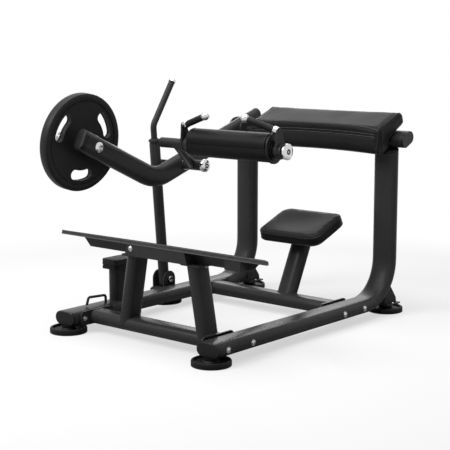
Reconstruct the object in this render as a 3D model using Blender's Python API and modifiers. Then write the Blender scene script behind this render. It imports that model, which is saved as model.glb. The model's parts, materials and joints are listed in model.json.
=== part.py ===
"""Plate-loaded glute bridge machine, in metres, +Z up, +X towards its near side and +Y towards the back pad.

The machine is laid out from its base: two bent side frames stand RAIL_SPACING apart on the X axis, and the
user's seat, pads and foot platform share the line X = USER_LINE. At the end everything is shifted, so that
the origin is on the floor below the middle of the whole machine.
"""

import math

import bmesh
import bpy
from mathutils import Matrix, Vector

for old in list(bpy.data.objects):
    bpy.data.objects.remove(old, do_unlink=True)

# Clearance
GAP = 0.0003          # between pieces that touch
FIT = 0.0004          # round a pin in its bore

# Frame tube, a flat oval
TUBE_WIDE = 0.120
TUBE_THICK = 0.060
LINK_WIDE = 0.100     # the lighter oval of cross tubes, posts and arm
LINK_THICK = 0.060
NOSE_STEPS = 8        # facets round each nose of an oval

# Side frames
RAIL_SPACING = 0.834
RAIL_FRONT = -0.610
RAIL_Z = 0.064
UPRIGHT_Y = 0.641
BEND_RADIUS = 0.195
BEND_STEPS = 12
CAP_THICK = 0.010

# Rear brackets
WEDGE_AHEAD = 0.046   # of the rear foot's middle
WEDGE_BEHIND = 0.056
WEDGE_THICK = 0.056
WEDGE_BASE_WIDE = 0.096
WEDGE_BASE = 0.007
WEDGE_HEEL = 0.030

# Feet
FOOT_RADIUS = 0.082
FOOT_THICK = 0.026
FOOT_NECK = 0.031
FRONT_FOOT_Y = -0.597
REAR_FOOT_Y = 0.655

# Cross tubes
FRONT_CROSS_Y = -0.484
MID_CROSS_Y = 0.318
FLANGE_THICK = 0.008
FLANGE_LONG = 0.196
FLANGE_HIGH = 0.063

# The line that the user sits on
USER_LINE = 0.075

# Foot platform and its two posts
POST_FOOT_APART = 0.450
POST_HEAD_APART = 0.338
POST_TOP = 0.366
HEAD_PLATE = 0.006
PLATFORM_WIDE = 1.160
PLATFORM_DEEP = 0.250
PLATFORM_THICK = 0.011
PLATFORM_FRONT = -0.542
PLATFORM_FRONT_Z = 0.434
PLATFORM_SLOPE = math.radians(12.9)
RIB_PITCH = 0.0125
RIB_HIGH = 0.0025
PLATFORM_SIDE_CUT = 0.214   # how far each side edge runs in towards the seat
BRACKET_SHEET = 0.006
BRACKET_WALL_Y = -0.490
BRACKET_FRONT_Y = -0.545
BRACKET_TOP_WIDE = 0.992
BRACKET_LOW_WIDE = 0.914
BRACKET_BOX_TOP = 0.324
BRACKET_BOX_LOW = 0.354
BRACKET_BOX_SHIFT = -0.012
STIFFENER_WIDE = 0.080
STIFFENER_X = 0.405   # from the user's line

# Seat
SEAT_WIDE = 0.362
SEAT_DEEP = 0.262
SEAT_THICK = 0.056
SEAT_CORNER = 0.056
SEAT_SLOPE = math.radians(21.0)
SEAT_Y = 0.430
SEAT_TOP_Z = 0.4215
SEAT_BOARD = 0.006
SEAT_POST_Y = 0.329
SEAT_POST_LEAN = math.radians(25.8)

# Back pad, on a cross tube that is turned to the slope of the pad
PAD_TUBE_Y = 0.680
PAD_TUBE_Z = 0.8155
PAD_SLOPE = math.radians(25.0)
PAD_TUBE_NEAR = 0.497
PAD_WIDE = 0.771
PAD_THICK = 0.068
PAD_BOARD = 0.005
PAD_BACK = 0.079      # reach of the slab behind the tube's middle
PAD_FRONT = 0.135     # reach of the lip in front of it
PAD_LIP = 0.105       # drop of the lip below the slab's top
PAD_CORNER = 0.016
BOARD_INSET = 0.070   # of the board's ends, from the pad's ends
BOARD_DEEP = 0.112
BOARD_SHIFT = 0.006   # up the slope from the tube's middle

# Lever arm
ARM_OUT = 0.030       # its middle, outwards from the far side frame's middle
ARM_TALL = 0.100
ARM_THICK = 0.056
ARM_FRONT_Y = -0.462
ARM_REAR_Y = 0.736
ARM_ELBOW_Y = -0.0123
ARM_ELBOW_Z = 0.6206
ARM_FRONT_SLOPE = math.radians(25.1)
ARM_REAR_SLOPE = math.radians(18.3)
ARM_BEND = 0.200
ARM_CAP = 0.022
PIVOT_Y = 0.635
PIVOT_Z = 0.8165
SHAFT_RADIUS = 0.020
CHEEK_THICK = 0.010
CHEEK_GAP = 0.0025    # free play each side of the arm
CHEEK_RADIUS = 0.065
FORK_FLOOR = 0.700
FORK_PLATE = 0.008

# Weight horn and plate
HORN_Y = -0.394
HORN_RISE = 0.0095    # above the arm's middle line, at its face
HORN_TILT = math.radians(6)
HORN_RADIUS = 0.0245
HORN_REACH = 0.205
COLLAR_RADIUS = 0.046
COLLAR_THICK = 0.043
HORN_BOLT_RADIUS = 0.0235
PLATE_RADIUS = 0.2215
PLATE_THICK = 0.045
PLATE_RIM = 0.026
PLATE_RECESS = 0.0025
PLATE_PLAY = 0.0008   # round the horn
SLOT_RADIUS = 0.152
SLOT_WIDE = 0.040
SLOT_HALF_ANGLE = math.radians(17)

# Hip pad yoke
YOKE_Y = 0.172
YOKE_Z = 0.680
YOKE_PIN_RADIUS = 0.012
SLEEVE_RADIUS = 0.0255
SLEEVE_LONG = 0.112
YOKE_CAP_RADIUS = 0.031
HIP_Y = -0.067
HIP_Z = 0.805
BAR_RADIUS = 0.0235
BAR_OFF_ARM = 0.072   # its far end, from the arm's near face
BRACE_OFF_BAR = 0.092  # foot of the brace on the bar, from the bar's far end
BRACE_OFF_ARM = 0.047
YOKE_RING = 0.006
HIP_PAD_HALF = 0.230  # half the length of the hip pad
HIP_PAD_RADIUS = 0.0525
SADDLE_RADIUS = 0.056
SADDLE_RISE = 0.020
SADDLE_LOW = 0.010    # height of its lower edge above the bar's middle
SHELL_RADIUS = 0.0565
SHELL_THICK = 0.010
SHELL_STEP = 0.008
HUB_LONG = 0.040
GRIP_PLATE = 0.009
END_CAP_RADIUS = 0.035
END_CAP_THICK = 0.012
GRIP_RADIUS = 0.0140
RING_RADIUS = 0.0168
RING_LONG = 0.022
BALL_RADIUS = 0.0190
GRIP_FOOT = (0.255, -0.082, 0.8945)   # from the user's line, and in Y and Z
GRIP_TIP = (0.113, -0.115, 0.940)

# Support stick
OUTRIGGER_LONG = 0.104
STICK_OUT = 0.033     # its middle, outwards from the far rail's nose
STICK_HINGE_Y = 0.1125
STICK_HINGE_Z = 0.120
STICK_RADIUS = 0.0255
STICK_TOP_Z = 0.806
STICK_LEAN = math.radians(4.94)
ROD_RADIUS = 0.0150
ROD_BEND_Z = 0.868
ROD_END_Y = 0.178
ROD_END_Z = 1.068
ROD_SOCKET = 0.090
KNOB_RADIUS = 0.0180
EAR_THICK = 0.006
EAR_RADIUS = 0.040
EAR_SIDE_GAP = 0.006
CATCH_Y = 0.113
CATCH_Z = 0.692
CATCH_PIN_RADIUS = 0.009
CATCH_PIN_REACH = 0.052
CATCH_THICK = 0.014

# Bumper post and band peg on the far rail
BUMPER_Y = -0.285
BUMPER_TOP = 0.243
BUMPER_CAP_Y = -0.298
BUMPER_CAP_LONG = 0.152
BUMPER_CAP_WIDE = 0.092
BUMPER_CAP_HIGH = 0.046
PEG_RADIUS = 0.006
PEG_Y = -0.370
PEG_REACH = 0.105
PEG_HIGH = 0.128

NEAR_X = RAIL_SPACING / 2
FAR_X = -RAIL_SPACING / 2
RAIL_TOP = RAIL_Z + TUBE_THICK / 2
RAIL_BOTTOM = RAIL_Z - TUBE_THICK / 2
NOSE_X = FAR_X - TUBE_WIDE / 2

STICK_X = NOSE_X - STICK_OUT
ARM_X = FAR_X - ARM_OUT
ARM_FACE = ARM_X - ARM_THICK / 2
NEAR_FACE = ARM_X + ARM_THICK / 2
BAR_FAR_X = NEAR_FACE + BAR_OFF_ARM
BRACE_BAR_X = BAR_FAR_X + BRACE_OFF_BAR
BRACE_SLEEVE_X = NEAR_FACE + BRACE_OFF_ARM

machine = bpy.data.collections.new("glute_machine")
helpers = bpy.data.collections.new("cutters")
bpy.context.scene.collection.children.link(machine)
bpy.context.scene.collection.children.link(helpers)


def material(name, colour, roughness, metallic):
    made = bpy.data.materials.new(name)
    made.use_nodes = True
    shader = made.node_tree.nodes["Principled BSDF"]
    shader.inputs["Base Color"].default_value = (*colour, 1)
    shader.inputs["Roughness"].default_value = roughness
    shader.inputs["Metallic"].default_value = metallic
    made.diffuse_color = (*colour, 1)
    return made


BLACK_STEEL = material("black powder coat", (0.030, 0.031, 0.032), 0.42, 0.3)
DARK_PLASTIC = material("black plastic", (0.018, 0.018, 0.019), 0.50, 0.0)
RUBBER = material("black rubber", (0.012, 0.012, 0.012), 0.75, 0.0)
LEATHERETTE = material("black upholstery", (0.020, 0.020, 0.021), 0.48, 0.0)
CHROME = material("polished chrome", (0.80, 0.80, 0.80), 0.12, 1.0)
GREY_STEEL = material("turned steel", (0.45, 0.45, 0.46), 0.30, 1.0)


def seat_at(obj, x, y, z):
    """Stands an object at a point of the machine's layout."""
    obj.location = (x, y, z)
    return obj


def own(obj, name, look=None, helper=False):
    """Names an object and files it with the machine's pieces or with the cutters."""
    obj.name = name
    obj.data.name = name
    for group in list(obj.users_collection):
        group.objects.unlink(obj)
    (helpers if helper else machine).objects.link(obj)
    if helper:
        obj.hide_render = True
        obj.display_type = "WIRE"
    elif look:
        obj.data.materials.clear()
        obj.data.materials.append(look)
    return obj


def smooth(obj, angle=35):
    """Shades a piece smooth, with its edges sharper than the angle kept crisp."""
    obj.data.shade_smooth()
    obj.data.set_sharp_from_angle(angle=math.radians(angle))
    return obj


def solid_of_curve(curve):
    """Turns a curve object into one welded mesh object in the same place."""
    bpy.context.view_layer.update()
    graph = bpy.context.evaluated_depsgraph_get()
    mesh = bpy.data.meshes.new_from_object(curve.evaluated_get(graph))
    work = bmesh.new()
    work.from_mesh(mesh)
    bmesh.ops.remove_doubles(work, verts=work.verts, dist=0.00001)
    bmesh.ops.recalc_face_normals(work, faces=work.faces)
    work.to_mesh(mesh)
    work.free()
    made = bpy.data.objects.new(curve.name, mesh)
    made.matrix_world = curve.matrix_world
    machine.objects.link(made)
    bpy.data.objects.remove(curve, do_unlink=True)
    return made


def oval_outline(wide, thick):
    """Points round a flat oval, with its long way along x."""
    nose = thick / 2
    points = []
    for side in (1, -1):
        for i in range(NOSE_STEPS + 1):
            turn = math.pi / 2 - math.pi * i / NOSE_STEPS
            points.append((side * (wide / 2 - nose + nose * math.cos(turn)), side * nose * math.sin(turn)))
    return points


def flat_curve(name, outline):
    """A closed flat outline as a curve object."""
    data = bpy.data.curves.new(name, "CURVE")
    data.dimensions = "2D"
    spline = data.splines.new("POLY")
    spline.points.add(len(outline) - 1)
    for point, (x, y) in zip(spline.points, outline):
        point.co = (x, y, 0, 1)
    spline.use_cyclic_u = True
    obj = bpy.data.objects.new(name, data)
    machine.objects.link(obj)
    return obj


def tube(name, path, wide, thick, look=BLACK_STEEL, tilt=0.0, tall=False, helper=False):
    """An oval tube swept along a path, wide side level, or upright where it is tall."""
    outline = oval_outline(wide, thick)
    if tall:
        outline = [(-y, x) for x, y in outline]
    section = own(flat_curve(name + "_section", outline), name + "_section", helper=True)
    data = bpy.data.curves.new(name, "CURVE")
    data.dimensions = "3D"
    data.twist_mode = "MINIMUM"
    data.bevel_mode = "OBJECT"
    data.bevel_object = section
    data.use_fill_caps = True
    spline = data.splines.new("POLY")
    spline.points.add(len(path) - 1)
    start = Vector(path[0])
    for point, spot in zip(spline.points, path):
        point.co = (*(Vector(spot) - start), 1)
        point.tilt = tilt
    obj = bpy.data.objects.new(name, data)
    machine.objects.link(obj)
    seat_at(obj, *start)
    made = own(solid_of_curve(obj), name, look, helper)
    bpy.data.objects.remove(section, do_unlink=True)
    return smooth(made)


def rod(name, path, radius, look=BLACK_STEEL, sides=3, helper=False):
    """A round rod or tube along a path of points."""
    data = bpy.data.curves.new(name, "CURVE")
    data.dimensions = "3D"
    data.bevel_depth = radius
    data.bevel_resolution = sides
    data.use_fill_caps = True
    spline = data.splines.new("POLY")
    spline.points.add(len(path) - 1)
    start = Vector(path[0])
    for point, spot in zip(spline.points, path):
        point.co = (*(Vector(spot) - start), 1)
    obj = bpy.data.objects.new(name, data)
    machine.objects.link(obj)
    seat_at(obj, *start)
    return smooth(own(solid_of_curve(obj), name, look, helper))


def bent(points, radius, steps):
    """A path through corner points, with each inner corner rounded to the radius."""
    corners = [Vector(p) for p in points]
    path = [corners[0]]
    for before, corner, after in zip(corners, corners[1:], corners[2:]):
        back = (before - corner).normalized()
        ahead = (after - corner).normalized()
        half = back.angle(ahead) / 2
        reach = radius / math.tan(half)
        middle = corner + (back + ahead).normalized() * radius / math.sin(half)
        first = corner + back * reach - middle
        last = corner + ahead * reach - middle
        axis = first.cross(last)
        sweep = first.angle(last)
        for i in range(steps + 1):
            path.append(middle + Matrix.Rotation(sweep * i / steps, 3, axis) @ first)
    path.append(corners[-1])
    return [tuple(p) for p in path]


def slab(name, outline, thick, look=BLACK_STEEL, plane="XY", bevel=0.0, helper=False, segments=1):
    """A flat outline given a thickness, middle on its own plane: XY, YZ or XZ."""
    obj = flat_curve(name, outline)
    obj.data.fill_mode = "BOTH"
    obj.data.extrude = thick / 2
    made = own(solid_of_curve(obj), name, look, helper)
    turn = {
        "XY": Matrix.Identity(4),
        "YZ": Matrix(((0, 0, 1, 0), (1, 0, 0, 0), (0, 1, 0, 0), (0, 0, 0, 1))),
        "XZ": Matrix(((1, 0, 0, 0), (0, 0, -1, 0), (0, 1, 0, 0), (0, 0, 0, 1))),
    }[plane]
    made.data.transform(turn)
    if bevel:
        soften(made, bevel, segments)
    return smooth(made)


def soften(obj, width, segments=1, angle=40):
    """Rounds the sharp edges of a piece."""
    edge = obj.modifiers.new("rounded edges", "BEVEL")
    edge.width = width
    edge.segments = segments
    edge.limit_method = "ANGLE"
    edge.angle_limit = math.radians(angle)
    return obj


def block(name, size, look=BLACK_STEEL, bevel=0.0, helper=False):
    """A box with its middle at the object's origin."""
    mesh = bpy.data.meshes.new(name)
    work = bmesh.new()
    bmesh.ops.create_cube(work, size=1)
    bmesh.ops.scale(work, verts=work.verts, vec=size)
    work.to_mesh(mesh)
    work.free()
    obj = own(bpy.data.objects.new(name, mesh), name, look, helper)
    if bevel:
        soften(obj, bevel)
    return obj


AXES = {
    "X": Matrix.Rotation(math.radians(90), 4, "Y"),
    "-X": Matrix.Rotation(math.radians(-90), 4, "Y"),
    "Z": Matrix.Identity(4),
}


def disc(name, radius, thick, look=BLACK_STEEL, axis="X", bevel=0.0, sides=28, helper=False):
    """A cylinder on its axis, middle at the object's origin."""
    mesh = bpy.data.meshes.new(name)
    work = bmesh.new()
    bmesh.ops.create_cone(work, cap_ends=True, segments=sides, radius1=radius, radius2=radius, depth=thick)
    work.to_mesh(mesh)
    work.free()
    mesh.transform(AXES[axis])
    obj = own(bpy.data.objects.new(name, mesh), name, look, helper)
    if bevel:
        soften(obj, bevel)
    return smooth(obj)


def turned(name, profile, look=BLACK_STEEL, axis="Z", steps=28, helper=False):
    """A turned piece: the profile's (radius, height) points run down its outer side, axis to axis."""
    mesh = bpy.data.meshes.new(name)
    work = bmesh.new()
    spots = [work.verts.new((radius, 0, height)) for radius, height in profile]
    for first, second in zip(spots, spots[1:]):
        work.edges.new((first, second))
    work.to_mesh(mesh)
    work.free()
    obj = own(bpy.data.objects.new(name, mesh), name, look, helper)
    spin = obj.modifiers.new("turned", "SCREW")
    spin.steps = steps
    spin.render_steps = steps
    spin.use_merge_vertices = True
    spin.merge_threshold = 0.00001
    bpy.context.view_layer.update()
    whole = bpy.data.meshes.new_from_object(obj.evaluated_get(bpy.context.evaluated_depsgraph_get()))
    obj.modifiers.clear()
    obj.data = whole
    whole.name = name
    whole.transform(AXES[axis])
    if look and not helper:
        obj.data.materials.clear()
        obj.data.materials.append(look)
    return smooth(obj)


def boolean(obj, other, operation):
    step = obj.modifiers.new(operation.lower() + " " + other.name, "BOOLEAN")
    step.operation = operation
    step.solver = "EXACT"
    step.object = other
    return obj


def cut(obj, *cutters):
    for cutter in cutters:
        boolean(obj, cutter, "DIFFERENCE")
    return obj


def joined(obj, *others):
    """Welds further shapes onto a piece, so that they are one body with it."""
    for other in others:
        own(other, other.name + "_shape", helper=True)
        boolean(obj, other, "UNION")
    return obj


def rounded(corners, radius, steps=4):
    """A closed outline with every corner rounded to the radius, or to its own radius as third value."""
    outline = []
    count = len(corners)
    for i in range(count):
        before = Vector(corners[i - 1][:2])
        here = Vector(corners[i][:2])
        after = Vector(corners[(i + 1) % count][:2])
        size = corners[i][2] if len(corners[i]) > 2 else radius
        back = (before - here).normalized()
        ahead = (after - here).normalized()
        half = back.angle(ahead) / 2
        reach = size / math.tan(half)
        middle = here + (back + ahead).normalized() * size / math.sin(half)
        start = here + back * reach - middle
        end = here + ahead * reach - middle
        sweep = start.angle_signed(end)
        for k in range(steps + 1):
            turn = -sweep * k / steps
            x = start.x * math.cos(turn) - start.y * math.sin(turn)
            y = start.x * math.sin(turn) + start.y * math.cos(turn)
            outline.append((middle.x + x, middle.y + y))
    return outline


def arc(centre, radius, first, last, steps):
    return [
        (
            centre[0] + radius * math.cos(first + (last - first) * i / steps),
            centre[1] + radius * math.sin(first + (last - first) * i / steps),
        )
        for i in range(steps + 1)
    ]


# Side frames: each is one tube, bent the flat way from the rail into the upright.
def side_path(x, top, grow=0.0):
    return bent(
        [(x, RAIL_FRONT - grow, RAIL_Z), (x, UPRIGHT_Y, RAIL_Z), (x, UPRIGHT_Y, top)],
        BEND_RADIUS,
        BEND_STEPS,
    )


SLOPE_ALONG = Vector((math.cos(PAD_SLOPE), math.sin(PAD_SLOPE)))
SLOPE_OUT = Vector((-math.sin(PAD_SLOPE), math.cos(PAD_SLOPE)))


def on_slope(along, out):
    """A point in Y and Z, from the pad tube's middle, along the pad's slope and square to it."""
    spot = Vector((PAD_TUBE_Y, PAD_TUBE_Z)) + SLOPE_ALONG * along + SLOPE_OUT * out
    return spot.x, spot.y


TALLEST = PAD_TUBE_Z
frames = {}
for side, x in (("near", NEAR_X), ("far", FAR_X)):
    frames[side] = tube("side_frame_" + side, side_path(x, TALLEST), TUBE_WIDE, TUBE_THICK)

under_tube = block("under_pad_tube", (2.0, 0.6, 0.4), helper=True)
under_tube.rotation_euler = (PAD_SLOPE, 0, 0)
seat_at(under_tube, 0, *on_slope(0, 0.2 - LINK_THICK / 2 - GAP))
cut(frames["near"], under_tube)
cut(frames["far"], under_tube)

CHEEK_IN = ARM_THICK / 2 + CHEEK_GAP
FORK_IN_X = ARM_X + CHEEK_IN + CHEEK_THICK
FORK_OUT_X = ARM_X - CHEEK_IN - CHEEK_THICK
RISER_X = FORK_IN_X + GAP
arm_notch = block("arm_notch", (0.3, 0.4, 0.4), helper=True)
seat_at(arm_notch, RISER_X - 0.15, UPRIGHT_Y, FORK_FLOOR + 0.2)
cut(frames["far"], arm_notch)

# End caps of the rails
for side, x in (("near", NEAR_X), ("far", FAR_X)):
    cap = slab(
        "rail_cap_" + side,
        oval_outline(TUBE_WIDE - 0.001, TUBE_THICK - 0.001),
        CAP_THICK,
        DARK_PLASTIC,
        "XZ",
        0.003,
    )
    seat_at(cap, x, RAIL_FRONT - GAP - CAP_THICK / 2, RAIL_Z)

# Feet: a rubber disc with a rounded shoulder and a neck up to the frame
FOOT_PROFILE = [
    (0.0, RAIL_BOTTOM - GAP),
    (FOOT_NECK, RAIL_BOTTOM - GAP),
    (FOOT_NECK, FOOT_THICK),
    (FOOT_RADIUS - 0.010, FOOT_THICK - 0.001),
    (FOOT_RADIUS - 0.003, FOOT_THICK - 0.004),
    (FOOT_RADIUS, FOOT_THICK - 0.012),
    (FOOT_RADIUS, 0.0),
    (0.0, 0.0),
]
STICK_FOOT_Y = STICK_HINGE_Y + 0.006
for name, x, y in (
    ("foot_front_near", NEAR_X, FRONT_FOOT_Y),
    ("foot_front_far", FAR_X, FRONT_FOOT_Y),
    ("foot_rear_near", NEAR_X, REAR_FOOT_Y),
    ("foot_rear_far", FAR_X, REAR_FOOT_Y),
    ("foot_stick", STICK_X, STICK_FOOT_Y),
):
    seat_at(turned(name, FOOT_PROFILE, RUBBER, steps=28), x, y, 0)

# Rear brackets: a wedge from the outside of the bend down to the foot, with a base plate
BEND_OUT = BEND_RADIUS + TUBE_THICK / 2
BEND_Y = UPRIGHT_Y - BEND_RADIUS
BEND_Z = RAIL_Z + BEND_RADIUS
WEDGE_FRONT = REAR_FOOT_Y - WEDGE_AHEAD
WEDGE_BACK = REAR_FOOT_Y + WEDGE_BEHIND
BASE_Z = RAIL_BOTTOM
for side, x in (("near", NEAR_X), ("far", FAR_X)):
    first = -math.acos((WEDGE_FRONT - BEND_Y) / (BEND_OUT + GAP))
    last = -math.radians(30)
    outline = [(WEDGE_FRONT, BASE_Z)]
    outline += arc((BEND_Y, BEND_Z), BEND_OUT + GAP, first, last, 8)
    outline += [(WEDGE_BACK - WEDGE_HEEL / 5, BASE_Z + WEDGE_HEEL), (WEDGE_BACK, BASE_Z)]
    outline.reverse()
    wedge = slab("rear_bracket_" + side, outline, WEDGE_THICK, plane="YZ", bevel=0.003)
    seat_at(wedge, x, 0, 0)
    base_long = WEDGE_BACK - WEDGE_FRONT + 0.004
    base = block("rear_base_" + side, (WEDGE_BASE_WIDE, base_long, WEDGE_BASE), bevel=0.002)
    seat_at(base, x, (WEDGE_FRONT + WEDGE_BACK) / 2, BASE_Z + WEDGE_BASE / 2)
    joined(wedge, base)

# Cross tubes, each with a bolted flange at both ends
inner = NEAR_X - TUBE_WIDE / 2
for name, y in (("front_cross_tube", FRONT_CROSS_Y), ("mid_cross_tube", MID_CROSS_Y)):
    reach = inner - GAP - FLANGE_THICK / 2
    cross = tube(name, [(-reach, y, RAIL_Z), (reach, y, RAIL_Z)], LINK_WIDE, LINK_THICK)
    for side in (-1, 1):
        flange = slab(
            name + "_flange" + ("_far" if side < 0 else "_near"),
            rounded(
                [
                    (-FLANGE_LONG / 2, -FLANGE_HIGH / 2),
                    (FLANGE_LONG / 2, -FLANGE_HIGH / 2),
                    (FLANGE_LONG / 2, FLANGE_HIGH / 2),
                    (-FLANGE_LONG / 2, FLANGE_HIGH / 2),
                ],
                0.018,
            ),
            FLANGE_THICK,
            plane="YZ",
        )
        seat_at(flange, side * reach, y, RAIL_Z)
        joined(cross, flange)

# Outrigger on the far rail, above the stick's own foot
OUTRIGGER_END = STICK_X - OUTRIGGER_LONG / 2
OUTRIGGER_TOP = RAIL_Z + 0.008
OUTRIGGER_IN = NOSE_X + TUBE_THICK / 3
rail_room = tube(
    "rail_room",
    side_path(FAR_X, 0.5, 0.1),
    TUBE_WIDE + 2 * GAP,
    TUBE_THICK + 2 * GAP,
    helper=True,
)
outrigger = block(
    "outrigger",
    (OUTRIGGER_IN - OUTRIGGER_END, OUTRIGGER_LONG, OUTRIGGER_TOP - RAIL_BOTTOM),
    bevel=0.003,
)
seat_at(outrigger, (OUTRIGGER_IN + OUTRIGGER_END) / 2, STICK_FOOT_Y, (OUTRIGGER_TOP + RAIL_BOTTOM) / 2)
cut(outrigger, rail_room)

# Clevis for the stick: two ears with rounded tops on a base plate
EAR_X = STICK_RADIUS + EAR_SIDE_GAP + EAR_THICK / 2
CLEVIS_Z = OUTRIGGER_TOP + GAP
ear_low = CLEVIS_Z - STICK_HINGE_Z
ear_outline = [(-EAR_RADIUS, ear_low)]
ear_outline += [(EAR_RADIUS, ear_low)]
ear_outline += arc((0, 0), EAR_RADIUS, 0, math.pi, 12)
clevis = block("stick_clevis", (2 * EAR_X + EAR_THICK + 0.008, 0.092, 0.006), bevel=0.0015)
seat_at(clevis, STICK_X, STICK_HINGE_Y, CLEVIS_Z + 0.003)
for side in (-1, 1):
    ear = slab("stick_ear" + ("_far" if side < 0 else "_near"), ear_outline, EAR_THICK, plane="YZ")
    seat_at(ear, STICK_X + side * EAR_X, STICK_HINGE_Y, STICK_HINGE_Z)
    joined(clevis, ear)
CLEVIS_BOLT = 0.008
BOLT_HEAD = 0.010
bolt_room = disc("clevis_bolt_room", CLEVIS_BOLT + FIT, 0.2, helper=True, sides=20)
seat_at(bolt_room, STICK_X, STICK_HINGE_Y, STICK_HINGE_Z)
cut(clevis, rail_room, bolt_room)

BOLT_HALF = EAR_X + EAR_THICK / 2
clevis_bolt = disc("clevis_bolt", CLEVIS_BOLT, 2 * BOLT_HALF + 0.012, CHROME, sides=20)
seat_at(clevis_bolt, STICK_X, STICK_HINGE_Y, STICK_HINGE_Z)
for side in (-1, 1):
    head_name = "clevis_bolt_head" + ("_far" if side < 0 else "_near")
    head = disc(head_name, 0.0145, BOLT_HEAD, CHROME, bevel=0.0015, sides=20)
    seat_at(head, STICK_X + side * (BOLT_HALF + GAP + BOLT_HEAD / 2), STICK_HINGE_Y, STICK_HINGE_Z)
    joined(clevis_bolt, head)

# Bumper post and cap, and the band peg, all on the far rail
post_outline = [(-y, x) for x, y in oval_outline(LINK_WIDE, LINK_THICK)]
BUMPER_LOW = RAIL_TOP + GAP
post = slab("bumper_post", post_outline, BUMPER_TOP - BUMPER_LOW)
seat_at(post, FAR_X, BUMPER_Y, (BUMPER_TOP + BUMPER_LOW) / 2)


def corners(wide, deep):
    return [(-wide / 2, -deep / 2), (wide / 2, -deep / 2), (wide / 2, deep / 2), (-wide / 2, deep / 2)]


bumper = slab(
    "bumper_cap",
    rounded(corners(BUMPER_CAP_WIDE, BUMPER_CAP_LONG), 0.014),
    BUMPER_CAP_HIGH,
    RUBBER,
    bevel=0.004,
)
seat_at(bumper, FAR_X, BUMPER_CAP_Y, BUMPER_TOP + GAP + BUMPER_CAP_HIGH / 2)

rod(
    "band_peg",
    bent(
        [
            (FAR_X, PEG_Y, RAIL_TOP + GAP),
            (FAR_X, PEG_Y, PEG_HIGH),
            (FAR_X, PEG_Y - PEG_REACH, PEG_HIGH + 0.006),
            (FAR_X, PEG_Y - PEG_REACH - 0.012, PEG_HIGH - 0.028),
        ],
        0.012,
        4,
    ),
    PEG_RADIUS,
)

# Posts of the foot platform, splayed outwards to the front cross tube, each with its head plate
cross_room = tube(
    "front_cross_room",
    [(-0.4, FRONT_CROSS_Y, RAIL_Z), (0.4, FRONT_CROSS_Y, RAIL_Z)],
    LINK_WIDE + 2 * GAP,
    LINK_THICK + 2 * GAP,
    helper=True,
)
above_posts = block("above_posts", (2, 1, 0.4), helper=True)
seat_at(above_posts, 0, FRONT_CROSS_Y, POST_TOP + 0.2)
HEAD_TOP = POST_TOP + HEAD_PLATE
for side, sign in (("far", -1), ("near", 1)):
    foot_x = USER_LINE + sign * POST_FOOT_APART / 2
    head_x = USER_LINE + sign * POST_HEAD_APART / 2
    slant = (head_x - foot_x) / (HEAD_TOP - RAIL_Z)
    path = [
        (foot_x + slant * 0.006, FRONT_CROSS_Y, RAIL_Z + 0.006),
        (head_x + slant * 0.03, FRONT_CROSS_Y, HEAD_TOP + 0.03),
    ]
    stem = tube("platform_post_" + side, path, LINK_WIDE, LINK_THICK)
    cut(stem, cross_room, above_posts)
    head = slab("platform_post_head_" + side, rounded(corners(0.112, 0.102), 0.012), HEAD_PLATE)
    seat_at(head, head_x - slant * 0.003, FRONT_CROSS_Y, POST_TOP + HEAD_PLATE / 2)
    joined(stem, head)

# Foot platform: a ribbed tread that slopes down towards the seat
slope_down = math.tan(PLATFORM_SLOPE)


def tread_z(y):
    """Height of the platform's underside at a depth of the machine."""
    return PLATFORM_FRONT_Z - PLATFORM_THICK - (y - PLATFORM_FRONT) * slope_down


ribs = int(PLATFORM_DEEP / RIB_PITCH) - 1
tread_outline = [(0, -PLATFORM_THICK), (PLATFORM_DEEP, -PLATFORM_THICK), (PLATFORM_DEEP, 0)]
for i in range(ribs, 0, -1):
    spot = i * RIB_PITCH
    tread_outline += [
        (spot + 0.0030, 0),
        (spot + 0.0022, RIB_HIGH),
        (spot - 0.0022, RIB_HIGH),
        (spot - 0.0030, 0),
    ]
tread_outline += [(0, 0)]
tread = slab("foot_platform", tread_outline, PLATFORM_WIDE, DARK_PLASTIC, "YZ")
tread.rotation_euler = (-PLATFORM_SLOPE, 0, 0)
seat_at(tread, USER_LINE, PLATFORM_FRONT, PLATFORM_FRONT_Z)

for side, sign in (("far", -1), ("near", 1)):
    edge = sign * PLATFORM_WIDE / 2
    trim = slab(
        "tread_trim_" + side,
        [
            (edge, PLATFORM_FRONT + 0.006),
            (edge - sign * PLATFORM_SIDE_CUT, PLATFORM_FRONT + PLATFORM_DEEP),
            (edge - sign * PLATFORM_SIDE_CUT, PLATFORM_FRONT + PLATFORM_DEEP + 0.1),
            (edge + sign * 0.1, PLATFORM_FRONT + PLATFORM_DEEP + 0.1),
            (edge + sign * 0.1, PLATFORM_FRONT + 0.006),
        ],
        0.6,
        helper=True,
    )
    seat_at(trim, USER_LINE, 0, PLATFORM_FRONT_Z)
    cut(tread, trim)

# Platform bracket: a long wall with slanted ends, and in front of it the open box that stands on both posts
BRACKET_LOW = HEAD_TOP + GAP
sheet = BRACKET_SHEET
wall_high = tread_z(BRACKET_WALL_Y) - BRACKET_LOW
bracket = slab(
    "platform_bracket",
    [
        (-BRACKET_LOW_WIDE / 2, 0),
        (BRACKET_LOW_WIDE / 2, 0),
        (BRACKET_TOP_WIDE / 2, wall_high),
        (BRACKET_TOP_WIDE / 2, wall_high + 0.03),
        (-BRACKET_TOP_WIDE / 2, wall_high + 0.03),
        (-BRACKET_TOP_WIDE / 2, wall_high),
    ],
    sheet,
    plane="XZ",
)
seat_at(bracket, USER_LINE, BRACKET_WALL_Y + sheet / 2, BRACKET_LOW)
box_deep = BRACKET_WALL_Y - BRACKET_FRONT_Y
box_rise = tread_z(BRACKET_FRONT_Y) - BRACKET_LOW


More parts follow.
